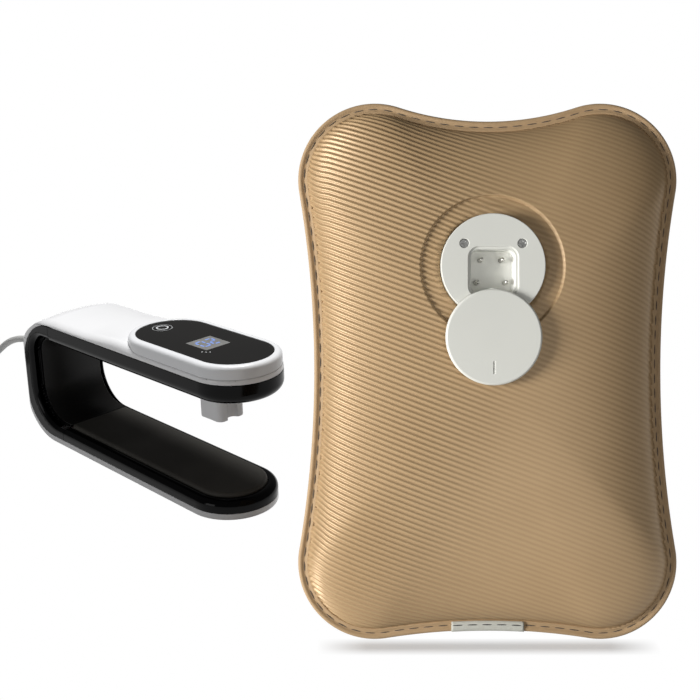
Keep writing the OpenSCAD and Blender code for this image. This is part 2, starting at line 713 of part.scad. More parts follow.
// ---------- pressure plate and cut-off switch ----------
hinge_u = 47.5;
hinge_w = 9;
lever_u = 169;
lever_w = 9.7;
lever_reach = 17;
lever_ratio = 7.9;
lever_rise = 0.3+lever_ratio*plate_travel;
rib_low = lever_w+lever_reach*sin(lever_rise)+0.58;
plate_low_w = 12.2;
plate_top_w = 16.4;
module pressure_plate() {
    color([0.13, 0.13, 0.13]) in_clamp() difference() {
        union() {
            difference() {
                bar(u_low+2.6, tip_c) half_bar(24, plate_low_w, plate_top_w, 0, 2.4);
                bar(u_low+5, tip_c) slab(21.6, plate_low_w-1, plate_top_w-2.2);
            }
            for (s = [-1, 1]) translate([hinge_u-4, s*14-2.5, hinge_w-3]) cube([8, 5, 8]);
            translate([184.5, -3, rib_low]) cube([3, 6, plate_top_w-1-rib_low]);
        }
        translate([hinge_u, 0, hinge_w]) rotate([90, 0, 0]) cylinder(r = 1.55, h = 40, center = true);
    }
}
module plate_hinge_pin() {
    color([0.75, 0.75, 0.76]) in_clamp() translate([hinge_u, 0, hinge_w]) rotate([90, 0, 0])
        cylinder(r = 1.5, h = 55, center = true);
}
spring_rise = 7.6;
spring_half = 20;
spring_r = (spring_half*spring_half+spring_rise*spring_rise)/(2*spring_rise);
module plate_spring() {
    color([0.7, 0.72, 0.75]) in_clamp() translate([140, 0, 3]) across(12) union() {
        intersection() {
            difference() {
                translate([0, spring_rise-spring_r]) circle(r = spring_r);
                translate([0, spring_rise-spring_r]) circle(r = spring_r-0.5);
            }
            translate([-spring_half, 0]) square([2*spring_half, 20]);
        }
        for (s = [-1, 1]) translate([s*(spring_half+1.9)-2.5, 0]) square([5, 0.5]);
    }
}
module cutoff_switch() {
    color([0.12, 0.12, 0.13]) in_clamp() difference() {
        union() {
            translate([167, -3.2, 3]) cube([20, 6.4, 5.4]);
            for (s = [-1, 1]) translate([167.6, s*2.7-0.5, 8.3]) cube([2.8, 1, 2.2]);
        }
        translate([lever_u, 0, lever_w]) rotate([90, 0, 0]) cylinder(r = 0.5, h = 20, center = true);
    }
}
module lever_pin() {
    color([0.75, 0.75, 0.76]) in_clamp() translate([lever_u, 0, lever_w]) rotate([90, 0, 0])
        cylinder(r = 0.5, h = 6.4, center = true);
}
module switch_lever() {
    color([0.75, 0.76, 0.78]) in_clamp() translate([lever_u, 0, lever_w])
        rotate([0, -lever_rise, 0]) difference() {
        union() {
            translate([0, -1.8, -0.2]) cube([lever_reach, 3.6, 0.4]);
            rotate([90, 0, 0]) cylinder(r = 0.95, h = 3.6, center = true);
        }
        rotate([90, 0, 0]) cylinder(r = 0.55, h = 9, center = true);
    }
}
// Hand-chosen points of one wire, from the cut-off switch up the spine to the board
wire_way = [[172.6, 6.2], [166, 6.2], [100, 6.2], [34, 6.2], [27, 7.3], [20, 11], [13, 17], [8, 24],
            [4.5, 32], [3.3, 40], [3.3, 63], [4.6, 68], [7, 72.2], [10.8, 77.5], [15.9, 81.8], [23, 84.5],
            [32, 85.8], [75, 86.7], [117, 87.6], [120, 88.3], [121.5, 90], [121.5, 93.6]];
module wire_harness() {
    color([0.7, 0.15, 0.12]) in_clamp() for (s = [-1, 1]) union() {
        tube([for (p = wire_way) [p[0], 9*s, p[1]]], 0.9, 8, [0, 1, 0]);
        translate([172, 9*s, 6.2]) rotate([s*90, 0, 0]) cylinder(r = 0.7, h = 5.6);
    }
}

// ---------- fasteners and feet ----------
module base_screws() {
    color([0.6, 0.6, 0.6]) in_clamp() for (p = base_uv) translate([p[0], p[1], 0]) union() {
        translate([0, 0, 0.9]) cylinder(r = 2.8, h = 1);
        translate([0, 0, 1.8]) cylinder(r = 1.25, h = 7);
    }
}
module rubber_feet() {
    color([0.16, 0.16, 0.16]) in_clamp() for (p = foot_uv) translate([p[0], p[1], 0]) cylinder(r = 6, h = 1.8);
}

// ---------- cord ----------
cord_r = cord_d/2;
boot_out = 28;
module strain_relief() {
    color([0.72, 0.72, 0.71]) in_clamp() translate([back_u, 0, cord_w]) rotate([0, -90, 0])
        rotate_extrude() difference() {
            polygon([[cord_r, -9.6], [7.5, -9.6], [7.5, -6.8], [5.5, -6.8], [5.5, 0.5],
                [3.6, boot_out], [cord_r, boot_out]]);
            for (z = [8, 13, 18, 23]) translate([4.1, z]) square([3, 1.6]);
        }
}
module cord_anchor() {
    color([0.2, 0.2, 0.2]) in_clamp() difference() {
        translate([back_u+9.7, -7, cord_w-6.5]) cube([4.6, 14, 13]);
        translate([back_u+8, 0, cord_w]) rotate([0, 90, 0]) cylinder(r = cord_r, h = 12);
    }
}
// Hand-chosen points of the cord's free run, back from the spine and down to the table
free_run = [[14.5, 0, 55], [0, 0, 55], [-14, 0, 55], [-28, 0, 55], [-40, 0, 54.5], [-52, 0, 52.5],
       [-64, 0, 49], [-76, 0, 43.5], [-87, 0, 36.5], [-98, 0, 28.5], [-109, 0, 20.5],
       [-120, 0, 13.5], [-132, 0, 8], [-145, 0, 4.5], [-158, 0, 3], [-170, 0, 2.8], [-180, 0, 2.8]];
low_z = 2.8;
run = [for (p = free_run) [p[0]+back_u, p[1], low_z+(p[2]-low_z)*(cord_w-low_z)/52.2]];
coil_in = 21.6;
coil_step = 5.8;
coil_out = coil_in+coil_step*coil_turns;
coil_c = [back_u-186, -coil_out];
high_z = low_z+coil_step;
half_steps = 12;
// Radius and height along the coil, by steps of fifteen degrees
lay1 = coil_turns*24;
lay2 = lay1+half_steps;
lay3 = lay2+coil_turns*24-2;
function coil_rad(i) = i < lay1 ? coil_out-coil_step*i/24
    : i < lay2 ? coil_in-0.8*sin(180*(i-lay1)/half_steps)
    : coil_in+coil_step*(i-lay2)/24;
function coil_z(i) = i < lay1 ? low_z
    : i < lay2 ? low_z+coil_step*(1-cos(180*(i-lay1)/half_steps))/2
    : high_z;
function coil_pt(i) = [coil_c[0]+coil_rad(i)*cos(90+15*i), coil_c[1]+coil_rad(i)*sin(90+15*i), coil_z(i)];
tail_a = 90+15*lay3;
tail_d = [-sin(tail_a), cos(tail_a), 0];
tail_p = coil_pt(lay3);
coil_path = concat([[back_u-180, 0, low_z]], [for (i = [0:lay3]) coil_pt(i)], [tail_p+6*tail_d]);
tail_run = [tail_p+6*tail_d, tail_p+14*tail_d, tail_p+24*tail_d-[0, 0, 0.3], tail_p+34*tail_d-[0, 0, 0.9],
            tail_p+44*tail_d-[0, 0, 1.4], tail_p+54*tail_d-[0, 0, 1.5]];
plug_axis = high_z-1.5;
gap_list = [for (i = [0:2:lay3-26]) for (j = [i+22:1:min(lay3, i+26)]) norm(coil_pt(i)-coil_pt(j))];
cross_list = [for (i = [0:3:lay1]) for (j = [lay2:3:lay3]) norm(coil_pt(i)-coil_pt(j))];
echo(least_gap = min(min(gap_list), min(cross_list))-cord_d);
module cord() {
    color([0.75, 0.75, 0.74]) in_clamp() union() {
        tube(run, cord_r, 10);
        tube(tail_run, cord_r, 10);
    }
}
module cord_coil() {
    color([0.75, 0.75, 0.74]) in_clamp() tube(coil_path, cord_r, 6);
}
module at_plug() {
    in_clamp() translate([tail_p[0], tail_p[1], plug_axis]) rotate([0, 0, tail_a+90])
        translate([54, 0, 0]) children();
}
module mains_plug() {
    color([0.78, 0.78, 0.77]) at_plug() difference() {
        union() {
            rotate([0, 90, 0]) cylinder(r1 = 4, r2 = 5.2, h = 14);
            translate([13, 0, -6.5]) linear_extrude(13) union() {
                polygon([[0, -7], [8, -13], [22, -13], [22, 13], [8, 13], [0, 7]]);
            }
        }
        for (s = [-1, 1]) translate([20, s*9.3, 0]) rotate([0, 90, 0]) cylinder(r = 1.6, h = 20);
    }
}
module mains_pins() {
    color([0.82, 0.78, 0.62]) at_plug() for (s = [-1, 1]) translate([20, s*9.3, 0]) rotate([0, 90, 0]) union() {
        cylinder(r = 1.6, h = 16);
        translate([0, 0, 15.5]) cylinder(r = 2, h = 17.5);
        translate([0, 0, 33]) cylinder(r1 = 2, r2 = 1, h = 1);
    }
}

cover_front();
cover_back();
rim_binding();
hem_tab();
bladder();
water_fill();
heater_housing();
housing_gasket();
socket_plate();
socket_cup();
contact_pins();
plate_screws();
socket_lid();
lid_clip();
lid_washer();
heater_tube();
heater_glands();
thermostat();
thermal_fuse();
link_wires();
base_shell();
spine_cover();
top_shell();
spine_case();
upper_case();
lower_case();
control_bezel();
display_panel();
lcd_lens();
lcd_module();
key_ring();
power_key();
key_plunger();
key_switch();
control_board();
relay();
power_module();
board_screws();
plug_housing();
contact_sleeves();
pressure_plate();
plate_hinge_pin();
plate_spring();
cutoff_switch();
switch_lever();
lever_pin();
wire_harness();
base_screws();
rubber_feet();
strain_relief();
cord_anchor();
cord();
cord_coil();
mains_plug();
mains_pins();
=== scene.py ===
"""The looks of a rechargeable warm-water bag and its C-shaped charging clamp."""
import json
import logging
import math
from dataclasses import dataclass, field
from enum import Enum
from functools import cached_property
from typing import Callable, Optional, Sequence

import bmesh
import bpy
import numpy as np
from bpy.types import NodeSocket
from mathutils import Matrix, Vector

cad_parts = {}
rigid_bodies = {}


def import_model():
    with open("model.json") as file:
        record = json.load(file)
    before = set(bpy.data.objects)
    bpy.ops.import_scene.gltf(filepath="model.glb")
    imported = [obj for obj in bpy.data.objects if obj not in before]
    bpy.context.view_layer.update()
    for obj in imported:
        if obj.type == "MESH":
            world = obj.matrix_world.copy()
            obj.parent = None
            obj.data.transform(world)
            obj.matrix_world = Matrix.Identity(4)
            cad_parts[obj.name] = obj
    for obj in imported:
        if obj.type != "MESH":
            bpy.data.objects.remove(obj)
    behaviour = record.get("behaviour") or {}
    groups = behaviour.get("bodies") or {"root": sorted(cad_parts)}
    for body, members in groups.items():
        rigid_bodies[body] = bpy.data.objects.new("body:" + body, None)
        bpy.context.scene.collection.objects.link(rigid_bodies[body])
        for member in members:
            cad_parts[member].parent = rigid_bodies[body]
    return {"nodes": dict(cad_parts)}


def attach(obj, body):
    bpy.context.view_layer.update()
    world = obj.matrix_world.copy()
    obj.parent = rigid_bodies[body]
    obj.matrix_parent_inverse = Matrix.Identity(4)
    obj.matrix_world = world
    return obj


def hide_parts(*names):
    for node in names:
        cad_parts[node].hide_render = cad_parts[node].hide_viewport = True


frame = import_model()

log = logging.getLogger("warm_bag")
BMesh = bmesh.types.BMesh
Array = np.ndarray
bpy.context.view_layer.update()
MM = 0.001
BAG = Matrix.Translation((0.1070, -0.1554, 0.0007)) @ Matrix.Rotation(math.radians(70), 4, "X")
CLAMP = Matrix.Translation((-0.1831, 0.1348, 0.0)) @ Matrix.Rotation(math.radians(-43.3), 4, "Z")
ARM = (CLAMP @ Matrix.Translation((0.111, 0, 0.095)) @ Matrix.Rotation(math.radians(-1.2), 4, "Y")
       @ Matrix.Translation((-0.111, 0, -0.095)))


class Body(str, Enum):
    """The bodies of the frame that pieces ride on."""

    CLAMP = "clamp"
    BAG = "bag"
    LID = "lid"
    KEY = "key"
    PLATE = "plate"
    LEVER = "lever"


def linear(rgb: Sequence[float]) -> tuple[float, ...]:
    """Turns a screen colour of 0 to 255 into a linear one with an alpha of one."""
    shares = [c / 255 for c in rgb]
    return (*(c / 12.92 if c <= 0.04045 else ((c + 0.055) / 1.055) ** 2.4 for c in shares), 1.0)


# ---- finishes


class Weave:
    """A hand for laying the nodes of one material or world."""

    def __init__(self, owner: bpy.types.ID, out: str = "OutputMaterial") -> None:
        """Clears the nodes of a material or world.

        Args:
            owner: the material or world.
            out: the type of its output node, without its ShaderNode start.
        """
        owner.use_nodes = True
        self.owner = owner
        self.tree = owner.node_tree
        self.tree.nodes.clear()
        self.out = self.tree.nodes.new("ShaderNode" + out)

    def add(self, kind: str, options: Optional[dict] = None, **inputs: object) -> bpy.types.Node:
        """Adds a node and fills its sockets.

        Args:
            kind: the node's type name without its ShaderNode start.
            options: plain properties of the node.
            inputs: values or sockets by the socket's name, with _ for a space, or i and the socket's number.

        Returns:
            The node.
        """
        node = self.tree.nodes.new("ShaderNode" + kind)
        for key, value in (options or {}).items():
            setattr(node, key, value)
        for key, value in inputs.items():
            numbered = key.startswith("i") and key[1:].isdigit()
            socket = node.inputs[int(key[1:]) if numbered else key.replace("_", " ")]
            if isinstance(value, NodeSocket):
                self.tree.links.new(value, socket)
            else:
                socket.default_value = value
        return node

    def math(self, operation: str, *terms: object) -> NodeSocket:
        """Adds a maths node over up to three values or sockets and gives its result."""
        return self.add("Math", {"operation": operation}, **{f"i{k}": t for k, t in enumerate(terms)}).outputs[0]

    def mix(self, factor: object, a: object, b: object, blend: str = "MIX") -> NodeSocket:
        """Mixes the colours a and b by a factor of 0 to 1 and gives the colour's socket."""
        options = {"data_type": "RGBA", "blend_type": blend, "clamp_result": True}
        return self.add("Mix", options, i0=factor, i6=a, i7=b).outputs[2]

    def mottled(self, noise: NodeSocket, rgb: Sequence[float], share: float, low: float = 0.35,
                high: float = 0.65) -> NodeSocket:
        """Gives a screen colour that falls to a share of itself where a noise runs from low to high."""
        return self.mix(self.ranged(noise, 0.0, 1.0, low, high), linear(rgb), linear([c * share for c in rgb]))

    def coords(self, *turn: float) -> NodeSocket:
        """Gives the object's coordinates, turned about X, Y and Z by some degrees."""
        at = self.add("TexCoord").outputs["Object"]
        return self.add("Mapping", Vector=at, Rotation=[math.radians(a) for a in turn or (0, 0, 0)]).outputs[0]

    def noise(self, where: NodeSocket, scale: float, detail: float = 3.0, rough: float = 0.55) -> NodeSocket:
        """Gives a noise value at some coordinates, with its scale, its finer layers and their strength."""
        return self.add("TexNoise", Vector=where, Scale=scale, Detail=detail, Roughness=rough).outputs[0]

    def ranged(self, value: NodeSocket, low: float, high: float, a: float = 0.0, b: float = 1.0) -> NodeSocket:
        """Maps a value from the range a to b to the range low to high, clamped."""
        return self.add("MapRange", Value=value, From_Min=a, From_Max=b, To_Min=low, To_Max=high).outputs[0]

    def bump(self, height: NodeSocket, depth: float, strength: float, **under: NodeSocket) -> NodeSocket:
        """Gives a normal from a height of 0 to 1 with its depth in metres, over the Normal in under."""
        return self.add("Bump", Height=height, Distance=depth, Strength=strength, **under).outputs[0]

    def close(self, shader: bpy.types.Node) -> bpy.types.ID:
        """Joins a shader to the output and gives the material or world."""
        self.tree.links.new(shader.outputs[0], self.out.inputs[0])
        return self.owner

    def shade(self, **inputs: object) -> bpy.types.ID:
        """Ends the material with a principled shader, its sockets by name with _ for a space."""
        return self.close(self.add("BsdfPrincipled", **inputs))


_made: dict[str, bpy.types.Material] = {}


@dataclass(frozen=True)
class Finish:
    """What every finish has: a name and a way to make its material once."""

    name: str

    def material(self) -> bpy.types.Material:
        """Returns the finish's material, made on the first call."""
        if self.name not in _made:
            _made[self.name] = self.make(Weave(bpy.data.materials.new(self.name)))
        return _made[self.name]

    def make(self, w: Weave) -> bpy.types.Material:
        """Lays the nodes with the hand w and gives the material."""
        raise NotImplementedError


@dataclass(frozen=True)
class Moulded(Finish):
    """Moulded plastic with a fine skin grain and faint unevenness."""

    colour: tuple[int, int, int] = (200, 200, 200)
    rough: float = 0.4
    grain: float = 900.0
    depth: float = 0.00003
    shift: float = 0.03
    shine: float = 0.5
    coat: float = 0.0

    def make(self, w: Weave) -> bpy.types.Material:
        """Lays the nodes; see Finish.make."""
        at = w.coords()
        broad = w.noise(at, 22.0, 2.0)
        fine = w.noise(at, self.grain, 2.0)
        colour = w.mottled(broad, self.colour, 1 - self.shift)
        rough = w.ranged(broad, max(0.02, self.rough - 0.03), self.rough + 0.03, 0.3, 0.7)
        return w.shade(Base_Color=colour, Roughness=rough, Coat_Weight=self.coat, Coat_Roughness=0.03,
                       Specular_IOR_Level=self.shine, Normal=w.bump(fine, self.depth, 0.35))


@dataclass(frozen=True)
class Metal(Finish):
    """Plain metal with fine turned marks."""

    colour: tuple[int, int, int] = (190, 190, 190)
    rough: float = 0.3

    def make(self, w: Weave) -> bpy.types.Material:
        """Lays the nodes; see Finish.make."""
        at = w.coords()
        fine = w.noise(at, 1400.0, 3.0)
        rough = w.ranged(fine, self.rough - 0.06, self.rough + 0.08, 0.3, 0.7)
        colour = w.mottled(w.noise(at, 90.0), self.colour, 0.9, 0.0, 1.0)
        return w.shade(Base_Color=colour, Metallic=1.0, Roughness=rough, Normal=w.bump(fine, 0.00002, 0.3))


@dataclass(frozen=True)
class RibbedCloth(Finish):
    """Satin cloth with raised ribs, its valleys darkened with painted shade; its UV map holds the flat cloth, one unit
    across for each rib.
    """

    ridge: tuple[int, int, int] = (179, 151, 112)
    # valley_shade is darker than ridge: painted shade in the rib valleys
    valley_shade: tuple[int, int, int] = (169, 140, 104)
    rough: float = 0.44
    satin: float = 0.2

    def make(self, w: Weave) -> bpy.types.Material:
        """Lays the nodes; see Finish.make."""
        flat = w.add("TexCoord").outputs["UV"]
        across = w.add("SeparateXYZ", Vector=flat).outputs[1]
        wave = w.math("COSINE", w.math("MULTIPLY", across, 2 * math.pi))
        rib_shade = w.ranged(wave, 0.0, 1.0, -1.0, 0.7)
        thread = w.noise(w.add("Mapping", Vector=flat, Scale=(60.0, 5.0, 1.0)).outputs[0], 3.0, 3.0, 0.6)
        cross = w.noise(w.add("Mapping", Vector=flat, Scale=(420.0, 2.0, 1.0)).outputs[0], 1.0, 2.0, 0.5)
        broad = w.noise(w.coords(), 16.0, 3.0)
        # painted shade: the colour falls from the ridge colour to the darker valley colour with the rib's phase
        colour = w.mix(rib_shade, linear(self.valley_shade), linear(self.ridge))
        darker = w.mix(w.ranged(broad, 0.0, 0.35, 0.35, 0.7), colour, (0.8, 0.76, 0.7, 1), "MULTIPLY")
        flecked = w.mix(w.ranged(thread, 0.0, 0.3, 0.35, 0.75), darker, (0.86, 0.84, 0.8, 1), "MULTIPLY")
        rough = w.ranged(cross, self.rough - 0.05, self.rough + 0.08, 0.3, 0.7)
        weave = w.bump(cross, 0.00006, 0.5, Normal=w.bump(thread, 0.00005, 0.4))
        return w.shade(Base_Color=flecked, Roughness=rough, Metallic=self.satin, Normal=weave)


@dataclass(frozen=True)
class PlainCloth(Finish):
    """Flat sewn cloth or woven tape, crossed threads on the piece's own place."""

    colour: tuple[int, int, int] = (172, 142, 106)
    rough: float = 0.6
    pitch: float = 0.0005
    lean: float = 20.0
    depth: float = 0.00008

    def make(self, w: Weave) -> bpy.types.Material:
        """Lays the nodes; see Finish.make."""
        at = w.coords(-70, 0, 0)
        turned = w.add("Mapping", Vector=at, Rotation=(0, 0, math.radians(self.lean))).outputs[0]
        parts = w.add("SeparateXYZ", Vector=turned)
        k = 2 * math.pi / self.pitch
        warp = w.math("SINE", w.math("MULTIPLY", parts.outputs[0], k))
        weft = w.math("SINE", w.math("MULTIPLY", parts.outputs[1], k))
        checks = w.ranged(w.math("MULTIPLY", warp, weft), 0.0, 1.0, -1.0, 1.0)
        fuzz = w.noise(at, 600.0, 3.0)
        tone = w.ranged(fuzz, 0.0, 0.4, 0.35, 0.7)
        colour = w.mix(w.ranged(checks, 0.25, 0.0, 0.0, 1.0), linear(self.colour),
                       linear([c * 0.72 for c in self.colour]))
        colour = w.mix(tone, colour, (0.82, 0.8, 0.76, 1), "MULTIPLY")
        normal = w.bump(checks, self.depth, 0.7, Normal=w.bump(fuzz, 0.00006, 0.3))
        return w.shade(Base_Color=colour, Roughness=self.rough, Sheen_Weight=0.2, Sheen_Roughness=0.4,
                       Normal=normal)


@dataclass(frozen=True)
class Thread(Finish):
    """Twisted sewing thread."""

    colour: tuple[int, int, int] = (92, 78, 68)

    def make(self, w: Weave) -> bpy.types.Material:
        """Lays the nodes; see Finish.make."""
        twist = w.noise(w.coords(-70, 0, 45), 1800.0, 2.0)
        colour = w.mottled(twist, self.colour, 0.6, 0.4, 0.6)
        return w.shade(Base_Color=colour, Roughness=0.7, Sheen_Weight=0.2, Normal=w.bump(twist, 0.0001, 0.6))


@dataclass(frozen=True)
class Jacket(Finish):
    """Soft cord jacket with a faint drawn grain."""

    colour: tuple[int, int, int] = (206, 206, 204)

    def make(self, w: Weave) -> bpy.types.Material:
        """Lays the nodes; see Finish.make."""
        at = w.coords()
        grain = w.noise(at, 700.0, 3.0)
        broad = w.noise(at, 30.0, 2.0)
        colour = w.mottled(broad, self.colour, 0.95)
        return w.shade(Base_Color=colour, Roughness=w.ranged(grain, 0.42, 0.54), Normal=w.bump(grain, 0.00004, 0.4))


@dataclass(frozen=True)
class Glass(Finish):
    """The display's window: a pale grey face behind a thin clear coat."""

    colour: tuple[int, int, int] = (150, 160, 178)

    def make(self, w: Weave) -> bpy.types.Material:
        """Lays the nodes; see Finish.make."""
        at = w.coords()
        cells = w.noise(at, 260.0, 2.0)
        colour = w.mottled(cells, self.colour, 0.93, 0.4, 0.6)
        return w.shade(Base_Color=colour, Roughness=0.25, Coat_Weight=1.0, Coat_Roughness=0.02,
                       Normal=w.bump(cells, 0.00001, 0.2))


@dataclass(frozen=True)
class FloorPaper(Finish):
    """White sweep that keeps the shadow at the bag's foot and is plain white elsewhere."""

    foot: tuple[float, float] = (0.107, -0.1615)
    reach: tuple[tuple[float, float], ...] = ((0.064, 0.09), (0.0015, 0.0075))
    share: float = 0.47
    bounce: float = 0.36

    def make(self, w: Weave) -> bpy.types.Material:
        """Lays the nodes; see Finish.make."""
        ray = w.add("LightPath").outputs
        seen = w.math("MAXIMUM", ray["Is Camera Ray"],
                      w.math("MAXIMUM", ray["Is Glossy Ray"], ray["Is Transmission Ray"]))
        at = w.add("SeparateXYZ", Vector=w.coords()).outputs
        near = 1.0
        for axis, (full, none) in enumerate(self.reach):
            away = w.math("ABSOLUTE", w.math("SUBTRACT", at[axis], self.foot[axis]))
            near = w.math("MULTIPLY", near, w.ranged(away, 1.0, 0.0, full, none))
        grain = w.noise(w.coords(), 40.0, 2.0)
        shown = w.mix(grain, (0.95, 0.95, 0.95, 1), (0.93, 0.93, 0.93, 1))
        paper = w.add("BsdfDiffuse", Color=w.mix(seen, (self.bounce, self.bounce, self.bounce, 1), shown))
        glow = w.add("Emission", Color=(1, 1, 1, 1), Strength=1.0)
        share = w.math("MULTIPLY", seen, w.ranged(near, 1.0, self.share))
        return w.close(w.add("MixShader", i0=share, i1=paper.outputs[0], i2=glow.outputs[0]))


GOLD = RibbedCloth("gold ribbed satin")
GOLD_RIM = PlainCloth("gold flat edge cloth", (178, 148, 110))
TAPE = PlainCloth("grey woven tape", (200, 200, 190), 0.75, 0.0007, 0.0, 0.00012)
DARK_THREAD = Thread("dark sewing thread", (58, 56, 54))
# partly painted shade: the rim thread's dark brown is partly its own colour and partly the shade of its stitch holes
GOLD_THREAD = Thread("brown sewing thread with painted hole shade", (92, 77, 61))
IVORY = Moulded("matte ivory plastic", (214, 214, 206), 0.5, 1100.0, 0.00002, 0.015)
WHITE = Moulded("white gloss plastic", (240, 240, 241), 0.2, 500.0, 0.000006, 0.01, 0.4)
BEZEL = Moulded("pale grey gloss plastic", (236, 237, 239), 0.2, 500.0, 0.000006, 0.012, 0.4)
BLACK = Moulded("black gloss plastic", (7, 7, 8), 0.14, 500.0, 0.000006, 0.1, 0.1)
# painted light: the lower plate's charcoal is written lighter than its own, to make up for the upper arm's shadow on it
LIT_CHARCOAL = Moulded("matte charcoal plastic lightened as painted light", (70, 68, 64), 0.6, 900.0, 0.00004, 0.08, 0.15)
# painted shade: the throat liner is the lower plate's pad plastic, written darker for its upright face
SHADED_LINER = Moulded("liner plastic darkened as painted shade", (22, 21, 20), 0.45, 900.0, 0.00004, 0.08, 0.15)
PANEL = Moulded("black panel glass", (25, 24, 23), 0.12, 500.0, 0.000004, 0.1, 0.3)
INK = Moulded("white ink", (222, 224, 226), 0.5, 900.0, 0.00001, 0.02)
BLUE_INK = Moulded("blue display ink", (134, 166, 240), 0.4, 900.0, 0.00001, 0.06)
PLUG_GREY = Moulded("grey satin plastic", (236, 236, 237), 0.42, 900.0, 0.00002, 0.02)
LENS = Glass("display window", (142, 142, 140))
STEEL = Metal("bright steel", (188, 188, 186), 0.32)
SCREW = Metal("dull screw metal", (166, 166, 163), 0.4)
# painted light: the socket cup is written paler than the plate's ivory, standing in for even front light in the recess
LIT_RECESS = Moulded("recess plastic lightened as painted light", (246, 246, 240), 0.6, 1100.0, 0.00002, 0.01)
PALE_METAL = Metal("silver contact metal", (214, 212, 206), 0.28)
RUBBER = Moulded("dark rubber", (38, 38, 40), 0.7, 1300.0, 0.00005, 0.08)
LINER = Moulded("grey liner film", (128, 138, 142), 0.45, 200.0, 0.0001, 0.05)
WATER = Moulded("clear blue water", (150, 185, 205), 0.08, 60.0, 0.00005, coat=0.3)
BOARD = Moulded("green board", (30, 98, 60), 0.4, 300.0, 0.00004, 0.2, coat=0.2)
RELAY = Moulded("blue relay case", (38, 78, 150), 0.35, 900.0, 0.00002)
TAN = Moulded("tan component case", (186, 168, 84), 0.45, 700.0, 0.00003, 0.05)
RED = Moulded("red wire jacket", (176, 42, 34), 0.45, 900.0, 0.00003, 0.05)
CORD_GREY = Jacket("pale grey cord jacket", (184, 184, 182))


# ---- making pieces


def piece(name: str, bm: BMesh, place: Matrix, body: Body, finish: Finish,
          replaces: Sequence[str] = (), smooth: bool = True) -> bpy.types.Object:
    """Turns a bmesh drawn in millimetres into a finished piece of the scene.

    Args:
        name: the piece's name.
        bm: its shape in the frame given by place, in millimetres; it is freed.
        place: the frame that it was drawn in.
        body: the body that it rides on.
        finish: its finish.
        replaces: the CAD nodes that it stands for.
        smooth: whether its faces shade smoothly.

    Returns:
        The object.
    """
    bm.transform(place @ Matrix.Scale(MM, 4))
    for face in bm.faces:
        face.smooth = smooth
    mesh = bpy.data.meshes.new(name)
    bm.to_mesh(mesh)
    bm.free()
    mesh.materials.append(finish.material())
    obj = bpy.data.objects.new(name, mesh)
    bpy.context.scene.collection.objects.link(obj)
    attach(obj, body.value)
    if replaces:
        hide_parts(*replaces)
    log.info("%s: %d faces on %s", name, len(mesh.polygons), body.value)
    return obj


def softened(name: str, node: str, body: Body, finish: Finish, width: float = 0.35,
             angle: float = 40.0) -> bpy.types.Object:
    """Makes a copy of a CAD node with small rounded edges and smooth shading.

    Args:
        name: the piece's name.
        node: the CAD node that it is copied from and stands for.
        body: the body that it rides on.
        finish: its finish.
        width: the rounding's width in millimetres.
        angle: the least angle of an edge that is rounded, in degrees.

    Returns:
        The object.
    """
    bm = bmesh.new()
    bm.from_mesh(frame["nodes"][node].data)
    bmesh.ops.remove_doubles(bm, verts=bm.verts, dist=0.000002)
    bmesh.ops.dissolve_limit(bm, angle_limit=math.radians(0.5), use_dissolve_boundaries=False,
                             verts=bm.verts, edges=bm.edges, delimit=set())
    bm.transform(Matrix.Scale(1 / MM, 4))
    obj = piece(name, bm, Matrix.Identity(4), body, finish, (node,))
    bevel = obj.modifiers.new("rounded edges", "BEVEL")
    bevel.width = width * MM
    bevel.segments = 2
    bevel.limit_method = "ANGLE"
    bevel.angle_limit = math.radians(angle)
    bevel.use_clamp_overlap = False
    bevel.harden_normals = False
    weigh = obj.modifiers.new("even shading", "WEIGHTED_NORMAL")
    weigh.keep_sharp = True
    return obj


def dress(finish: Finish, *nodes: str) -> None:
    """Gives CAD nodes a finish and leaves their shape as it is.

    Args:
        finish: the finish.
        nodes: the nodes' names.
    """
    for node in nodes:
        obj = frame["nodes"][node]
        if not obj.material_slots:
            obj.data.materials.append(finish.material())
        for place in obj.material_slots:
            place.material = finish.material()
        log.info("%s: %s", node, finish.name)


def mapped_grid(nu: int, nv: int, where: Callable[[float, float], Sequence[float]]) -> BMesh:
    """Starts a grid over the unit square and moves each point to its place.

    Args:
        nu: how many cells the first way.
        nv: how many cells the other way.
        where: gives the point's place from its two shares, each 0 to 1.

    Returns:
        The bmesh, with its doubled points merged and its normals outwards.
    """
    bm = bmesh.new()
    bmesh.ops.create_grid(bm, x_segments=nu, y_segments=nv, size=0.5)
    for v in bm.verts:
        v.co = Vector(where(v.co.x + 0.5, v.co.y + 0.5))
    bmesh.ops.remove_doubles(bm, verts=bm.verts, dist=0.0005)
    bmesh.ops.recalc_face_normals(bm, faces=bm.faces)
    return bm


# ---- studio


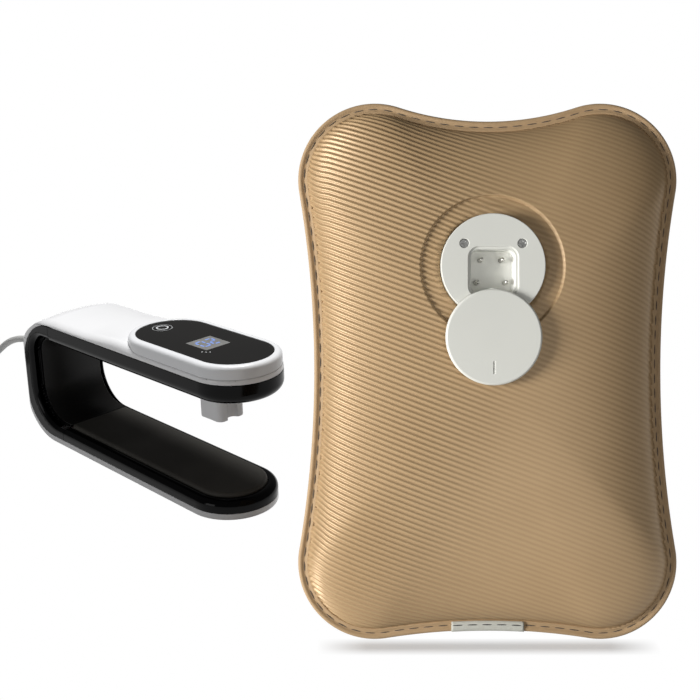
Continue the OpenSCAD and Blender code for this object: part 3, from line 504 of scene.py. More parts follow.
@dataclass
class Studio:
    """The camera, the lamps, the world and the white floor."""

    lens: float = 56.57
    eye: tuple[float, float, float] = (0.0344, -0.6498, 0.3432)
    pitch: float = 20.0
    bag_power: float = 34.0
    fill_power: float = 4.5
    clamp_power: float = 26.0
    side_power: float = 2.9
    floor_power: float = 28.0
    world: float = 0.12

    def camera(self) -> None:
        """Sets the camera at the photograph's viewing angle."""
        data = bpy.data.cameras.new("camera")
        data.lens = self.lens
        data.sensor_width = 36.0
        data.clip_start = 0.01
        data.clip_end = 100.0
        obj = bpy.data.objects.new("camera", data)
        obj.location = self.eye
        obj.rotation_euler = (math.radians(90 - self.pitch), 0, 0)
        bpy.context.scene.collection.objects.link(obj)
        bpy.context.scene.camera = obj

    def lamp(self, name: str, place: Sequence[float], aim: Sequence[float], size: float,
             power: float) -> bpy.types.Object:
        """Adds one soft square lamp.

        Args:
            name: its name.
            place: where it stands, in metres.
            aim: the point that it faces.
            size: its side in metres.
            power: its power in watts.

        Returns:
            The lamp.
        """
        data = bpy.data.lights.new(name, "AREA")
        data.shape = "SQUARE"
        data.size = size
        data.energy = power
        obj = bpy.data.objects.new(name, data)
        obj.location = place
        obj.rotation_euler = (Vector(aim) - Vector(place)).to_track_quat("-Z", "Y").to_euler()
        bpy.context.scene.collection.objects.link(obj)
        return obj

    def share_lamps(self) -> None:
        """Gives the bag, the clamp and the floor a lamp each, as in the photograph's two studio shots."""
        bpy.context.view_layer.update()
        groups = {"bag": [], "clamp": [], "floor": [self.floor]}
        for obj in bpy.context.scene.objects:
            if obj.type in {"MESH", "CURVE"} and obj is not self.floor:
                middle = sum(((obj.matrix_world @ Vector(c)).x for c in obj.bound_box), 0.0) / 8
                groups["bag" if middle > 0 else "clamp"].append(obj)
        for name, lamps in self.lamps.items():
            lit = bpy.data.collections.new(name + " receivers")
            for obj in groups[name]:
                lit.objects.link(obj)
            for lamp in lamps:
                lamp.light_linking.receiver_collection = lit
            log.info("%s: lamps light %d objects", name, len(groups[name]))

    def build(self) -> None:
        """Builds the whole studio."""
        self.camera()
        self.lamps = {
            "bag": [self.lamp("bag key lamp", (-1.236, -0.755, 0.3), (0.107, -0.1, 0.13), 0.5, self.bag_power),
                    self.lamp("bag fill lamp", (0.35, -1.55, 0.3), (0.107, -0.1, 0.13), 1.0, self.fill_power)],
            "clamp": [self.lamp("clamp top lamp", (-0.06, 0.36, 1.53), (-0.1, 0.05, 0.1), 0.6, self.clamp_power),
                      self.lamp("clamp side lamp", (-1.12, -1.03, 0.36), (-0.1, 0.05, 0.06), 0.6, self.side_power)],
            "floor": [self.lamp("floor lamp", (0.107, 0.46, 1.5), (0.107, -0.16, 0.0), 0.35, self.floor_power)]}
        air = bpy.data.worlds.new("studio air")
        bpy.context.scene.world = air
        w = Weave(air, "OutputWorld")
        plain, white = (w.add("Background", Color=(1, 1, 1, 1), Strength=k).outputs[0] for k in (self.world, 1.0))
        w.close(w.add("MixShader", i0=w.add("LightPath").outputs["Is Camera Ray"], i1=plain, i2=white))
        bm = bmesh.new()
        bmesh.ops.create_circle(bm, cap_ends=True, segments=96, radius=20.0)
        mesh = bpy.data.meshes.new("floor")
        bm.to_mesh(mesh)
        bm.free()
        mesh.materials.append(FloorPaper("white floor").material())
        floor = bpy.data.objects.new("floor", mesh)
        bpy.context.scene.collection.objects.link(floor)
        self.floor = floor
        bpy.context.scene.view_settings.view_transform = "Standard"
        log.info("studio built")


# ---- mains lead


@dataclass
class MainsLead:
    """The cord, its coil, its strain relief and its plug, in the clamp's frame."""

    diameter: float = 5.2
    coil_in: float = 21.6
    step: float = 5.8
    turns: float = 2.5
    low: float = 2.8
    half_steps: int = 12
    run: tuple[tuple[float, float, float], ...] = (
        (-6.5, 0, 55), (-20.5, 0, 55), (-34.5, 0, 55), (-46.5, 0, 54.5), (-58.5, 0, 52.5), (-70.5, 0, 49),
        (-82.5, 0, 43.5), (-93.5, 0, 36.5), (-104.5, 0, 28.5), (-115.5, 0, 20.5), (-126.5, 0, 13.5),
        (-138.5, 0, 8), (-151.5, 0, 4.5), (-164.5, 0, 3), (-176.5, 0, 2.8), (-186.5, 0, 2.8))

    def coil_point(self, i: float) -> Vector:
        """Gives a point of the coil.

        Args:
            i: how many steps of fifteen degrees along it.

        Returns:
            The point in the clamp's frame.
        """
        outer = self.coil_in + self.step * self.turns
        one = self.turns * 24
        two = one + self.half_steps
        if i < one:
            r, z = outer - self.step * i / 24, self.low
        elif i < two:
            share = (i - one) / self.half_steps
            r = self.coil_in - 0.8 * math.sin(math.pi * share)
            z = self.low + self.step * (1 - math.cos(math.pi * share)) / 2
        else:
            r, z = self.coil_in + self.step * (i - two) / 24, self.low + self.step
        a = math.radians(90 + 15 * i)
        return Vector((-192.5 + r * math.cos(a), -outer + r * math.sin(a), z))

    def route(self) -> list[Vector]:
        """Gives the whole route.

        Returns:
            Its points in the clamp's frame, from the spine to the plug.
        """
        last = int(2 * self.turns * 24 + self.half_steps - 2)
        points = [Vector(p) for p in self.run] + [self.coil_point(i) for i in range(last + 1)]
        a = math.radians(90 + 15 * last)
        way = Vector((-math.sin(a), math.cos(a), 0))
        for far, down in ((6, 0.0), (14, 0.0), (24, 0.3), (34, 0.9), (44, 1.4), (54, 1.5)):
            points.append(self.coil_point(last) + way * far - Vector((0, 0, down)))
        return points

    def build(self) -> None:
        points = [CLAMP @ (p * MM) for p in self.route()]
        data = bpy.data.curves.new("mains cord", "CURVE")
        data.dimensions = "3D"
        data.bevel_depth = 1.0
        data.bevel_resolution = 5
        data.resolution_u = 4
        data.use_fill_caps = True
        spline = data.splines.new("BEZIER")
        spline.bezier_points.add(len(points) - 1)
        for knot, p in zip(spline.bezier_points, points):
            knot.co = p
            knot.radius = self.diameter * MM / 2
            knot.handle_left_type = knot.handle_right_type = "AUTO"
        data.materials.append(CORD_GREY.material())
        cord = bpy.data.objects.new("mains_cord", data)
        bpy.context.scene.collection.objects.link(cord)
        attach(cord, Body.CLAMP.value)
        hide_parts("cord", "cord_coil")
        spline.resolution_u = 4
        boot = softened("cord_boot", "strain_relief", Body.CLAMP, CORD_GREY, 0.4)
        plug = softened("mains_plug_body", "mains_plug", Body.CLAMP, CORD_GREY, 1.2, 30)
        dress(PALE_METAL, "mains_pins")
        stub = mapped_grid(8, 24, lambda u, v: (
            -6.45 + 14.4 * u, 2.6 * math.cos(2 * math.pi * v), 55 + 2.6 * math.sin(2 * math.pi * v)))
        piece("cord_inner_end", stub, CLAMP, Body.CLAMP, CORD_GREY)


# ---- warm bag


@dataclass
class BagShape:
    """The bag's lobed outline and its crowned faces, in its own frame."""

    width: float = 200.0
    height: float = 283.0
    lobe: float = 40.5
    side: float = 8.5
    top: float = 9.5
    bottom: float = 4.7
    rim: float = 5.8
    crown: float = 22.6
    swell: float = 3.0
    shoulder: float = 0.58
    socket_y: float = 195.5

    def outline(self, inset: float, step: float = 0.8) -> Array:
        """Gives the closed outline, drawn in by an inset.

        Args:
            inset: how far it is drawn in.
            step: about how far apart its points are.

        Returns:
            An array of points, counterclockwise.
        """
        a, b, r = self.width / 2, self.height / 2, self.lobe

        def waist(p: float, q: float, w: float) -> float:
            """Gives the radius of a waist's arc from the lobes' places and its depth."""
            return (q * q + (r - w) ** 2 - r * r) / (2 * w)

        rs, rt, rb = waist(a - r, b - r, self.side), waist(b - r, a - r, self.top), waist(b - r, a - r, self.bottom)
        ps = math.degrees(math.atan2(b - r, rs + r - self.side))
        pt = math.degrees(math.atan2(a - r, rt + r - self.top))
        pb = math.degrees(math.atan2(a - r, rb + r - self.bottom))
        arcs = ((a - self.side + rs, 0, rs + inset, 180, 180 - ps), (a - r, b - r, r - inset, -ps, 90 + pt),
                (0, b - self.top + rt, rt + inset, 270 + pt, 270 - pt), (r - a, b - r, r - inset, 90 - pt, 180 + ps),
                (self.side - a - rs, 0, rs + inset, ps, -ps), (r - a, r - b, r - inset, 180 - ps, 270 + pb),
                (0, self.bottom - b - rb, rb + inset, 90 + pb, 90 - pb), (a - r, r - b, r - inset, 270 - pb, 360 + ps),
                (a - self.side + rs, 0, rs + inset, 180 + ps, 180))
        points = []
        for cx, cy, radius, a0, a1 in arcs:
            n = max(4, round(abs(math.radians(a1 - a0)) * radius / step))
            for i in range(n):
                t = math.radians(a0 + (a1 - a0) * i / n)
                points.append((cx + radius * math.cos(t), b + cy + radius * math.sin(t)))
        return np.array(points)

    def reach(self, inset: float) -> Callable[[Array], Array]:
        """Gives the outline's reach from the middle by angle.

        Args:
            inset: how far the outline is drawn in.

        Returns:
            A function from angles to lengths.
        """
        o = self.outline(inset, 0.5) - np.array([0, self.height / 2])
        angle = np.arctan2(o[:, 1], o[:, 0])
        order = np.argsort(angle)
        angle, far = angle[order], np.hypot(o[:, 0], o[:, 1])[order]
        return lambda t: np.interp(t, angle, far, period=2 * math.pi)

    @cached_property
    def seam(self) -> Callable[[Array], Array]:
        """Gives the seam's reach from the middle by angle, worked out once."""
        return self.reach(self.rim)

    def dome(self, x: Array, y: Array) -> Array:
        """Gives the face's height above the seam.

        Args:
            x: across the bag.
            y: up the bag.

        Returns:
            The heights, zero outside the seam.
        """
        dy = y - self.height / 2
        s = np.clip(np.hypot(x, dy) / self.seam(np.arctan2(dy, x)), 0, 1)
        return self.crown * np.power(1 - np.power(s, self.swell), self.shoulder)


@dataclass
class WarmBag:
    """The pillow bag: ribbed faces, sewn rim, stitches and the folded tape tab."""

    shape: BagShape = field(default_factory=BagShape)
    pitch: float = 2.65
    lean: float = 20.5
    relief: float = 0.46
    calm: float = 0.04
    calm_x: float = 30.0
    calm_run: float = 115.0
    flat_half: tuple[float, float] = (168.0, 185.0)
    front_step: float = 2.2
    back_step: float = 3.0
    tucked: float = 4.0
    hole: float = 26.8
    ring: float = 36.6
    ring_drop: float = 1.5
    ring_wall: float = 0.6
    ring_band: float = 1.2
    flange: float = 31.3
    flange_low: float = 17.2
    channel: float = 3.3
    pucker: float = 0.08
    stitch: float = 5.6
    stitch_pitch: float = 7.7
    tab_half: float = 19.1
    tab_bow: float = 677.0
    cloth: float = 0.9
    tape: float = 0.4

    def cloth_map(self) -> Callable[[Array, Array], tuple[Array, Array]]:
        """Lays the flat cloth on the dome, so that lengths along rows and columns keep.

        Returns:
            A function from flat cloth places to places on the bag.
        """
        xs = np.arange(-106, 106.1, 1.0)
        ys = np.arange(-6, 290.1, 1.0)
        gx, gy = np.meshgrid(xs, ys)
        h = self.shape.dome(gx, gy)
        dx = np.clip(np.gradient(h, axis=1), -2.4, 2.4)
        dy = np.clip(np.gradient(h, axis=0), -2.4, 2.4)
        lx, ly = np.sqrt(1 + dx * dx), np.sqrt(1 + dy * dy)
        sx = np.cumsum((lx[:, 1:] + lx[:, :-1]) / 2, axis=1)
        sx = np.concatenate([np.zeros((len(ys), 1)), sx], axis=1)
        sx -= sx[:, [106]]
        sy = np.cumsum((ly[1:] + ly[:-1]) / 2, axis=0)
        sy = np.concatenate([np.zeros((1, len(xs))), sy], axis=0)
        middle = round(self.shape.height / 2 + 6)
        sy -= sy[[middle]]

        def read(table: Array, x: Array, y: Array) -> Array:
            """Reads a table between its points.

            Args:
                table: the table, one value for each millimetre.
                x: the places across.
                y: the places up.

            Returns:
                The values there.
            """
            i = np.clip((x + 106).astype(int), 0, len(xs) - 2)
            j = np.clip((y + 6).astype(int), 0, len(ys) - 2)
            u, v = np.clip(x + 106 - i, 0, 1), np.clip(y + 6 - j, 0, 1)
            return ((table[j, i] * (1 - u) + table[j, i + 1] * u) * (1 - v)
                    + (table[j + 1, i] * (1 - u) + table[j + 1, i + 1] * u) * v)

        def lay(cx: Array, cy: Array) -> tuple[Array, Array]:
            """Finds where each cloth place lies on the bag.

            Args:
                cx: the places across the flat cloth.
                cy: the places up the flat cloth.

            Returns:
                The places across and up the bag.
            """
            x, y = cx * 0.9, cy * 0.9 + self.shape.height / 2
            for _ in range(40):
                x = np.clip(x + 0.7 * (cx - read(sx, x, y)) / read(lx, x, y), -105.5, 105.5)
                y = np.clip(y + 0.7 * (cy - read(sy, x, y)) / read(ly, x, y), -5.5, 289.5)
            return x, y

        return lay

    def face(self, front: bool) -> BMesh:
        """Makes one ribbed face of the bag.

        Args:
            front: whether it is the face with the socket.

        Returns:
            The bmesh in the bag's frame.
        """
        lean = math.radians(self.lean)
        cell, along = self.pitch / 5, self.front_step if front else self.back_step
        along_half, across_half = self.flat_half[0], round(self.flat_half[1] / self.pitch) * self.pitch
        nu, nv = round(2 * along_half / along), round(2 * across_half / cell)
        bm = bmesh.new()
        bmesh.ops.create_grid(bm, x_segments=nu, y_segments=nv, size=1.0)
        for v in bm.verts:
            v.co.x *= along_half
            v.co.y *= across_half
        keep = bm.verts.layers.float_vector.new("flat")
        lay = self.cloth_map()

        def places() -> tuple[Array, Array, Array]:
            """Gives the flat places and where they lie."""
            flat = np.array([v.co[:2] for v in bm.verts])
            cx = flat[:, 0] * math.cos(lean) + flat[:, 1] * math.sin(lean)
            cy = -flat[:, 0] * math.sin(lean) + flat[:, 1] * math.cos(lean)
            x, y = lay(cx, cy)
            return flat, x, y

        _, x, y = places()
        dy = y - self.shape.height / 2
        past = np.hypot(x, dy) > self.shape.reach(self.tucked + 0.2)(np.arctan2(dy, x))
        bmesh.ops.delete(bm, geom=[v for v, out in zip(bm.verts, past) if out], context="VERTS")
        if front:
            _, x, y = places()
            r = np.hypot(x, y - self.shape.socket_y)
            bm.verts.index_update()
            ends = [(e, *(v.index for v in e.verts)) for e in bm.edges if abs(e.verts[0].co.y - e.verts[1].co.y) < 0.01]
            near = [e for e, i, j in ends
                    if min(r[i], r[j]) < self.ring + self.ring_band and max(r[i], r[j]) > self.ring - self.ring_band]
            bmesh.ops.subdivide_edges(bm, edges=near, cuts=4)
            _, x, y = places()
            inner = [v for v, px, py in zip(bm.verts, x, y)
                     if math.hypot(px, py - self.shape.socket_y) < self.hole - 0.4]
            bmesh.ops.delete(bm, geom=inner, context="VERTS")
        bmesh.ops.delete(bm, geom=[v for v in bm.verts if not v.link_faces], context="VERTS")
        flat, x, y = places()
        edge = self.shape.outline(self.tucked, 0.4)
        for v, px, py, f in zip(bm.verts, x, y, flat):
            v[keep] = (f[0], f[1], 0)
            if v.is_boundary:
                if front and math.hypot(px, py - self.shape.socket_y) < self.hole + 6:
                    out = Vector((px, py - self.shape.socket_y)).normalized() * self.hole
                    px, py = out.x, out.y + self.shape.socket_y
                else:
                    px, py = edge[((edge - (px, py)) ** 2).sum(axis=1).argmin()]
            v.co = (px, py, 0)
        x = np.array([v.co.x for v in bm.verts])
        y = np.array([v.co.y for v in bm.verts])
        s = np.array([v[keep][1] for v in bm.verts])
        e = 0.25
        h = self.shape.dome(x, y)
        hx = np.clip((self.shape.dome(x + e, y) - self.shape.dome(x - e, y)) / (2 * e), -3, 3)
        hy = np.clip((self.shape.dome(x, y + e) - self.shape.dome(x, y - e)) / (2 * e), -3, 3)
        fade = np.clip((self.calm_x - x) / self.calm_run, 0, 1)
        tall = self.calm + (self.relief - self.calm) * fade * fade * (3 - 2 * fade)
        rise = tall * np.cos(2 * math.pi * s / self.pitch) * np.clip(h / 1.5, 0, 1)
        if front:
            r = np.hypot(x, y - self.shape.socket_y)
            t = np.clip((r - self.ring) / self.ring_wall + 0.5, 0, 1)
            ledge = self.flange_low - 1.2 * np.maximum(r - self.flange, 0)
            h = np.maximum(h - self.ring_drop * (1 - t * t * (3 - 2 * t)), np.minimum(h, ledge))
        norm = np.sqrt(1 + hx * hx + hy * hy)
        px, py, pz = x - hx / norm * rise, y - hy / norm * rise, 0.4 + h + rise / norm
        uv = bm.loops.layers.uv.new("cloth")
        for v, a, b, c in zip(bm.verts, px, py, pz):
            v.co = (a, b, c if front else -c)
        for f in bm.faces:
            for loop in f.loops:
                flat_at = loop.vert[keep]
                loop[uv].uv = (flat_at[0] * 0.01, flat_at[1] / self.pitch)
        up = 1 if front else -1
        bm.normal_update()
        if sum(f.normal.z * up > 0 for f in bm.faces) < len(bm.faces) / 2:
            bmesh.ops.reverse_faces(bm, faces=bm.faces)
        log.info("face: %d points, %d faces", len(bm.verts), len(bm.faces))
        return bm

    def cover(self, name: str, node: str, front: bool) -> None:
        """Builds one face as a padded piece with a real cloth thickness.

        Args:
            name: the piece's name.
            node: the CAD node that it replaces.
            front: whether it is the face with the socket.
        """
        obj = piece(name, self.face(front), BAG, Body.BAG, GOLD, (node,))
        wall = obj.modifiers.new("cloth thickness", "SOLIDIFY")
        wall.thickness = self.cloth * MM
        wall.offset = -1.0

    def along(self, inset: float) -> tuple[float, Callable[[float], tuple[Vector, Vector]]]:
        """Gives a walk round the outline by length.

        Args:
            inset: how far the outline is drawn in.

        Returns:
            The outline's girth, and a function from a length to a point and the way forwards.
        """
        o = self.shape.outline(inset, 0.6)
        closed = np.vstack([o, o[:1]])
        far = np.concatenate([[0], np.cumsum(np.hypot(*np.diff(closed, axis=0).T))])

        def at(length: float) -> tuple[Vector, Vector]:
            """Gives the point and heading at a length."""
            p = [np.interp((length + d) % far[-1], far, closed[:, k]) for d in (-0.4, 0, 0.4) for k in (0, 1)]
            return Vector((p[2], p[3], 0)), Vector((p[4] - p[0], p[5] - p[1], 0)).normalized()

        return float(far[-1]), at

    def rim(self) -> None:
        """Builds the flat sewn rim with its bead, channel and inner fold."""
        half = ((0.0, 0.0), (0.1, 0.6), (0.45, 1.12), (1.05, 1.42), (1.7, 1.4), (2.25, 1.12), (2.8, 0.86), (3.3, 0.8),
                (3.8, 0.86), (4.4, 1.08), (5.0, 1.25), (5.45, 1.2), (5.75, 0.9), (5.8, 0.3))
        loop = list(half) + [(e, -z) for e, z in reversed(half[1:])] + [half[0]]
        girth, at = self.along(0.0)
        count = round(girth / self.stitch_pitch)
        n = len(loop) - 1

        def where(u: float, v: float) -> tuple[float, float, float]:
            """Places a point of the rim.

            Args:
                u: the share along its length.
                v: the share round its section.

            Returns:
                The point.
            """
            p, way = at(u * girth)
            e, z = loop[round(v * n)]
            wave = math.cos(2 * math.pi * u * count)
            pucker = self.pucker * wave * math.exp(-(e - self.channel) ** 2)
            q = p + Vector((-way.y, way.x, 0)) * e
            return q.x, q.y, z - math.copysign(pucker, z) if z else z

        bm = mapped_grid(760, n, where)
        piece("bag_rim", bm, BAG, Body.BAG, GOLD_RIM, ("rim_binding",))

    def stitches(self) -> None:
        """Builds the row of stitches in the rim's channel, on both sides."""
        girth, at = self.along(self.channel)
        count = round(girth / self.stitch_pitch)
        rows = {False: bmesh.new(), True: bmesh.new()}
        for i in range(count):
            p, way = at((i + 0.5) * girth / count)
            on_tab = abs(p.x) < self.tab_half + 1 and p.y < 30
            bm = rows[on_tab]
            turn = Matrix.Rotation(math.atan2(way.y, way.x), 4, "Z")
            for side in (1, -1):
                z = side * (2.12 if on_tab else 0.8)
                bmesh.ops.create_uvsphere(
                    bm, u_segments=8, v_segments=6, radius=1.0,
                    matrix=Matrix.Translation((p.x, p.y, z)) @ turn @ Matrix.Diagonal((self.stitch / 2, 0.3, 0.26, 1)))
        piece("rim_stitches", rows[False], BAG, Body.BAG, GOLD_THREAD)
        piece("tape_stitches", rows[True], BAG, Body.BAG, DARK_THREAD)

    def tab(self) -> None:
        """Builds the grey tape folded over the lower edge."""
        fold = ((10.0, 1.95), (8.0, 2.02), (6.4, 2.0), (5.4, 1.9), (4.75, 1.45), (4.45, 0.8), (4.4, 0.0), (4.45, -0.8),
                (4.75, -1.45), (5.4, -1.9), (6.4, -2.0), (8.0, -2.02), (10.0, -1.95))
        n = len(fold) - 1

        def where(u: float, v: float) -> tuple[float, float, float]:
            """Places a point of the tape.

            Args:
                u: the share along its length.
                v: the share round its section.

            Returns:
                The point.
            """
            y, z = fold[round(v * n)]
            x = (2 * u - 1) * self.tab_half
            return x, y - x * x / self.tab_bow, z

        bm = mapped_grid(40, n, where)
        obj = piece("tape_tab", bm, BAG, Body.BAG, TAPE, ("hem_tab",))
        wall = obj.modifiers.new("tape thickness", "SOLIDIFY")
        wall.thickness = self.tape * MM
        wall.offset = -1.0

    def build(self) -> None:
        """Builds the bag's cloth."""
        self.cover("front_cover", "cover_front", True)
        self.cover("back_cover", "cover_back", False)
        self.rim()
        self.stitches()
        self.tab()
        dress(LINER, "bladder")
        dress(WATER, "water_fill")


# ---- socket


@dataclass
class Socket:
    """The round charging socket in the bag's face, with its swivel lid."""

    edge: float = 0.45

    def build(self) -> None:
        """Builds the socket's pieces."""
        softened("socket_face_plate", "socket_plate", Body.BAG, IVORY, self.edge)
        # the cup's pale colour is painted light in the recess
        softened("socket_recess_cup", "socket_cup", Body.BAG, LIT_RECESS, 0.5)
        softened("swivel_lid", "socket_lid", Body.LID, IVORY, 0.4, 25)
        softened("plate_screw_heads", "plate_screws", Body.BAG, SCREW, 0.12)
        dress(PALE_METAL, "contact_pins")
        dress(IVORY, "heater_housing")
        dress(RUBBER, "housing_gasket", "thermostat")
        dress(STEEL, "lid_clip", "lid_washer", "heater_tube")
        dress(INK, "heater_glands")
        dress(TAN, "thermal_fuse")
        dress(RED, "link_wires")


# ---- clamp


@dataclass
class Throat:
    """The clamp's inner face in side view: deck, lower fillet, spine, upper fillet and the arm's underside."""

    deck: float = 16.2
    spine: float = 10.5
    low_r: float = 24.0
    top_r: float = 12.0
    under: float = 77.51
    slope: float = 0.02095

    def rail(self, depth: float, start: float, end: float) -> list[tuple[float, float]]:
        """Gives the face's line at a depth inside the body.

        Args:
            depth: how deep below the face, in millimetres.
            start: where it starts along the deck.
            end: where it ends along the arm's underside.

        Returns:
            Points along and up, always the same number.
        """
        low, top = self.spine + self.low_r, self.spine + self.top_r
        line = [(start + (low - start) * k / 3, self.deck - depth) for k in range(3)]
        for k in range(19):
            a = math.radians(270 - 5 * k)
            r = self.low_r + depth
            line.append((low + r * math.cos(a), self.deck + self.low_r + r * math.sin(a)))
        middle = self.under - self.top_r * math.hypot(1, self.slope)
        for k in range(13):
            a = math.radians(180 - 7.4 * k)
            r = self.top_r + depth
            line.append((top + r * math.cos(a), middle + r * math.sin(a)))
        for k in range(1, 3):
            u = top + (end - top) * k / 2
            line.append((u, self.under + (u - top) * self.slope + depth))
        return line

    def sweep(self, section: Sequence[tuple[float, float]], start: float, end: float) -> BMesh:
        """Sweeps a closed section along the face.

        Args:
            section: its points, across and deep.
            start: where it starts along the deck.
            end: where it ends along the arm's underside.

        Returns:
            The closed bmesh in the clamp's frame.
        """
        rails = [self.rail(depth, start, end) for _, depth in section]
        n, m = len(section), len(rails[0]) - 1

        def where(a: float, b: float) -> tuple[float, float, float]:
            """Places a point of the sweep.

            Args:
                a: the share round its section.
                b: the share along its length.

            Returns:
                The point.
            """
            k = round(a * n) % n
            u, w = rails[k][round(b * m)]
            return u, section[k][0], w

        bm = mapped_grid(n, m, where)
        bmesh.ops.holes_fill(bm, edges=[e for e in bm.edges if e.is_boundary], sides=0)
        bmesh.ops.recalc_face_normals(bm, faces=bm.faces)
        return bm


@dataclass
class Clamp:
    """The C-shaped clamp: white outer band, black body, plug and lower plate."""

    edge: float = 0.5
    throat: Throat = field(default_factory=Throat)
    half: float = 31.0
    crown: float = 3.0
    shoulder_ends: tuple[float, float] = (46.0, 38.0)
    liner_ends: tuple[float, float] = (42.2, 30.0)

    def spine(self) -> None:
        """Builds the black spine with the stepped, rounded shoulder that runs on from the lower arm."""
        obj = softened("black_spine", "spine_case", Body.CLAMP, BLACK, 0.25)
        lip, bend = 24.3, 5.0
        arc = [math.radians(a) for a in range(0, 91, 10)]
        section = [(lip, -3.0), (lip, 2.1), (lip + 0.3, 2.4)]
        section += [(self.half - bend * (1 - math.sin(a)), 2.4 + bend * (1 - math.cos(a))) for a in arc]
        section += [(self.half + 3, 2.4 + bend), (self.half + 3, -3.0)]
        others = list(obj.modifiers)
        for other in others:
            other.show_viewport = False
        for side in (1, -1):
            bm = self.throat.sweep([(side * v, d) for v, d in section], *self.shoulder_ends)
            bm.transform(CLAMP @ Matrix.Scale(MM, 4))
            mesh = bpy.data.meshes.new("shoulder cutter")
            bm.to_mesh(mesh)
            bm.free()
            cutter = bpy.data.objects.new("shoulder cutter", mesh)
            bpy.context.scene.collection.objects.link(cutter)
            cut = obj.modifiers.new("shoulder", "BOOLEAN")
            cut.operation = "DIFFERENCE"
            cut.object = cutter
            cut.solver = "EXACT"
            bpy.context.view_layer.update()
            carved = bpy.data.meshes.new_from_object(obj.evaluated_get(bpy.context.evaluated_depsgraph_get()))
            obj.modifiers.remove(cut)
            obj.data = carved
            bpy.data.objects.remove(cutter)
            bpy.data.meshes.remove(mesh)
        for other in others:
            other.show_viewport = True
        for face in obj.data.polygons:
            face.use_smooth = True
        log.info("black_spine: carved, %d faces", len(obj.data.polygons))
        strip = [(-24.0, -0.12), (24.0, -0.12), (24.2, 0.1), (24.2, 0.5), (-24.2, 0.5), (-24.2, 0.1)]
        liner = self.throat.sweep(strip, *self.liner_ends)
        # the liner's darker colour is painted shade on the throat's upright face
        piece("spine_liner", liner, CLAMP, Body.CLAMP, SHADED_LINER)

    def top(self) -> None:
        """Builds the white top with its crowned face and drawn-in back corners, moved vertex by vertex."""
        obj = softened("white_top", "top_shell", Body.CLAMP, WHITE, 0.6)
        bm = bmesh.new()
        bm.from_mesh(obj.data)
        bm.transform(Matrix.Scale(1 / MM, 4) @ CLAMP.inverted())
        reach = self.half - 1.5
        cuts = [((0, v, 0), (0, 1, 0)) for v in np.linspace(-reach, reach, 25)]
        cuts += [((u, 0, 0), (1, 0, 0)) for u in range(40, 116, 5)]
        for place, way in cuts:
            bmesh.ops.bisect_plane(bm, geom=bm.verts[:] + bm.edges[:] + bm.faces[:], dist=0.0001, plane_co=place,
                                   plane_no=way)
        top, foot, middle_u, middle_w, big = 99.8, 93.4, 35.5, 56.2, 42.0

        def ramp(value: float, low: float, high: float) -> float:
            """Gives a value's share between low and high, from 0 to 1."""
            return min(1.0, max(0.0, (value - low) / (high - low)))

        for p in bm.verts:
            u, v, w = p.co
            drop = self.crown * (abs(v) / self.half) ** 2.2 * ramp(u, 108, 78)
            rise = (u - 111) * self.throat.slope
            if u >= middle_u:
                p.co.z = w - drop * ramp(w, foot + rise, top + rise)
            elif w > middle_w:
                a = math.degrees(math.atan2(w - middle_w, u - middle_u))
                r = math.hypot(u - middle_u, w - middle_w)
                inner = 35.5 + 4.2 * (a - 90) / 90
                less = min(drop, 0.5 * (big - inner)) * ramp(r, inner, big) * ramp(w, 77, 89)
                p.co.x = middle_u + (u - middle_u) * (r - less) / r
                p.co.z = middle_w + (w - middle_w) * (r - less) / r
        bm.transform(CLAMP @ Matrix.Scale(MM, 4))
        bm.to_mesh(obj.data)
        bm.free()
        for face in obj.data.polygons:
            face.use_smooth = True

    def build(self) -> None:
        """Builds the clamp's shells and the pieces inside them."""
        softened("white_base", "base_shell", Body.CLAMP, WHITE, self.edge)
        softened("white_back", "spine_cover", Body.CLAMP, WHITE, 0.3)
        self.top()
        self.spine()
        softened("black_upper_arm", "upper_case", Body.CLAMP, BLACK, 0.3)
        softened("black_lower_arm", "lower_case", Body.CLAMP, BLACK, 0.3)
        # the plate's lightened charcoal is painted light under the upper arm
        softened("lower_plate", "pressure_plate", Body.PLATE, LIT_CHARCOAL, 0.3)
        softened("charging_plug", "plug_housing", Body.CLAMP, PLUG_GREY, 0.5)
        dress(PALE_METAL, "contact_sleeves")
        dress(STEEL, "plate_hinge_pin", "plate_spring", "lever_pin", "switch_lever", "base_screws", "board_screws")
        dress(RUBBER, "rubber_feet", "cord_anchor", "cutoff_switch", "key_switch")
        dress(BOARD, "control_board")
        dress(RELAY, "relay")
        dress(TAN, "power_module")
        dress(RED, "wire_harness", "key_plunger")
        dress(PLUG_GREY, "lcd_module")


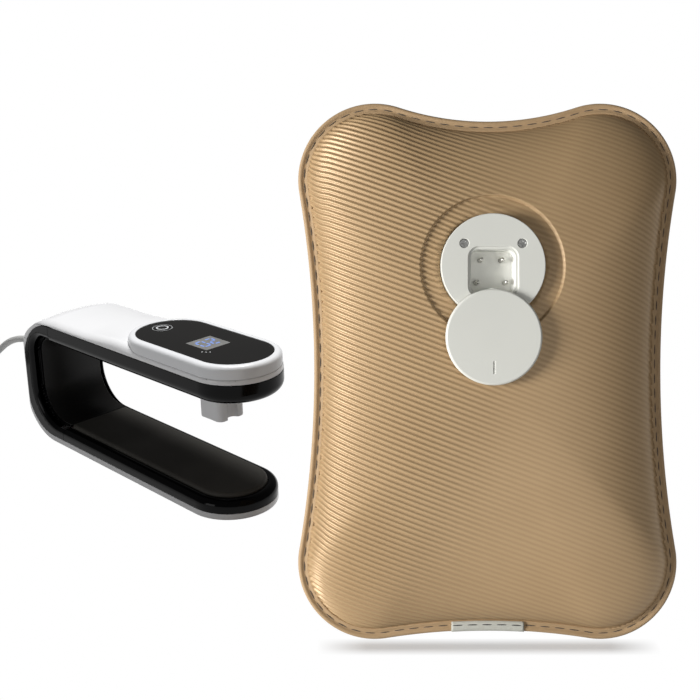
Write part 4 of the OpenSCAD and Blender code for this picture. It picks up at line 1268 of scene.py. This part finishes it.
@dataclass
class ControlPanel:
    """The bezel, black panel, display and power key on the upper arm."""

    top: float = 104.6
    lcd_u: float = 173.9
    key_u: float = 126.2
    digits: str = "50"
    tall: float = 10.4
    wide: float = 5.2
    stroke: float = 1.35
    gap: float = 0.3
    ink: float = 0.06
    glyphs: dict[str, str] = field(default_factory=lambda: {"5": "afgcd", "0": "abcdef"})

    def figures(self) -> None:
        """Builds the display's plain figures."""
        bm = bmesh.new()
        u, half_w, half_t = self.lcd_u - 0.6, self.wide / 2, self.tall / 2
        z = self.top - 0.01 + self.ink / 2
        for index, char in enumerate(self.digits):
            v = 4.1 - 8.0 * index
            spots = {"a": (u - half_t, v, True), "g": (u, v, True), "d": (u + half_t, v, True),
                     "f": (u - half_t / 2, v + half_w, False), "b": (u - half_t / 2, v - half_w, False),
                     "e": (u + half_t / 2, v + half_w, False), "c": (u + half_t / 2, v - half_w, False)}
            for mark in self.glyphs[char]:
                at_u, at_v, turned = spots[mark]
                length = (self.wide if turned else half_t) - self.gap - self.stroke
                sides = (self.stroke, length) if turned else (length, self.stroke)
                bmesh.ops.create_cube(bm, size=1.0, matrix=Matrix.Translation((at_u, at_v, z))
                                      @ Matrix.Diagonal((*sides, self.ink, 1)))
        bmesh.ops.recalc_face_normals(bm, faces=bm.faces)
        piece("display_figures", bm, ARM, Body.CLAMP, BLUE_INK, smooth=False)

    def marks(self) -> None:
        """Builds the thin ring round the key and the three dots below the display."""
        bm = bmesh.new()
        self.hoop(bm, 6.45, 6.7, self.top, 0.04)
        for u, v in ((184.9, -14.1), (187.0, -12.6), (188.9, -10.9)):
            bmesh.ops.create_cone(bm, cap_ends=True, segments=20, radius1=0.5, radius2=0.45, depth=0.06,
                                  matrix=Matrix.Translation((u, v, self.top + 0.02)))
        bmesh.ops.recalc_face_normals(bm, faces=bm.faces)
        piece("panel_marks", bm, ARM, Body.CLAMP, INK, smooth=False)

    def hoop(self, bm: BMesh, inner: float, outer: float, z: float, thick: float) -> None:
        """Adds a flat ring round the key's middle.

        Args:
            bm: the bmesh that it goes into.
            inner: its inner radius.
            outer: its outer radius.
            z: its foot's height.
            thick: its thickness.
        """
        before = set(bm.edges)
        for radius in (inner, outer):
            bmesh.ops.create_circle(bm, cap_ends=False, segments=72, radius=radius,
                                    matrix=Matrix.Translation((self.key_u, 0, z)))
        made = bmesh.ops.bridge_loops(bm, edges=[e for e in bm.edges if e not in before])
        lift = bmesh.ops.extrude_face_region(bm, geom=made["faces"])
        bmesh.ops.translate(bm, vec=(0, 0, thick), verts=[g for g in lift["geom"] if isinstance(g, bmesh.types.BMVert)])

    def key(self) -> None:
        """Builds the power key: a black cap with a softly rounded edge and the white ring printed on it."""
        bm = bmesh.new()
        foot, low, top, r = 100.4, 101.0, self.top + 0.15, 4.5
        profile = ((0.0, foot), (5.4, foot), (5.4, low), (r, low), (r, top - 0.25), (r - 0.08, top - 0.08),
                   (r - 0.28, top), (0.0, top))
        verts = [bm.verts.new((self.key_u + x, 0, z)) for x, z in profile]
        edges = [bm.edges.new(pair) for pair in zip(verts, verts[1:])]
        bmesh.ops.spin(bm, geom=verts + edges, cent=(self.key_u, 0, 0), axis=(0, 0, 1), angle=2 * math.pi, steps=64,
                       use_merge=True)
        bmesh.ops.remove_doubles(bm, verts=bm.verts, dist=0.0005)
        bmesh.ops.recalc_face_normals(bm, faces=bm.faces)
        piece("key_cap", bm, ARM, Body.KEY, PANEL, ("power_key",), smooth=False)
        bm = bmesh.new()
        self.hoop(bm, 3.35, 4.2, top - 0.01, 0.05)
        bmesh.ops.recalc_face_normals(bm, faces=bm.faces)
        piece("key_white_ring", bm, ARM, Body.KEY, INK, smooth=False)

    def build(self) -> None:
        """Builds the panel's pieces."""
        softened("panel_bezel", "control_bezel", Body.CLAMP, BEZEL, 0.4)
        softened("black_panel", "display_panel", Body.CLAMP, PANEL, 0.15)
        softened("display_window", "lcd_lens", Body.CLAMP, LENS, 0.15)
        softened("key_surround", "key_ring", Body.CLAMP, PANEL, 0.08)
        self.key()
        self.figures()
        self.marks()


def main() -> None:
    """Builds the studio, then the object from its cord to its smallest marks."""
    logging.basicConfig(level=logging.INFO, format="%(name)s: %(message)s")
    studio = Studio()
    for part in (studio, MainsLead(), WarmBag(), Socket(), Clamp(), ControlPanel()):
        part.build()
    studio.share_lamps()
    bpy.context.view_layer.update()


if __name__ == "__main__":
    main()
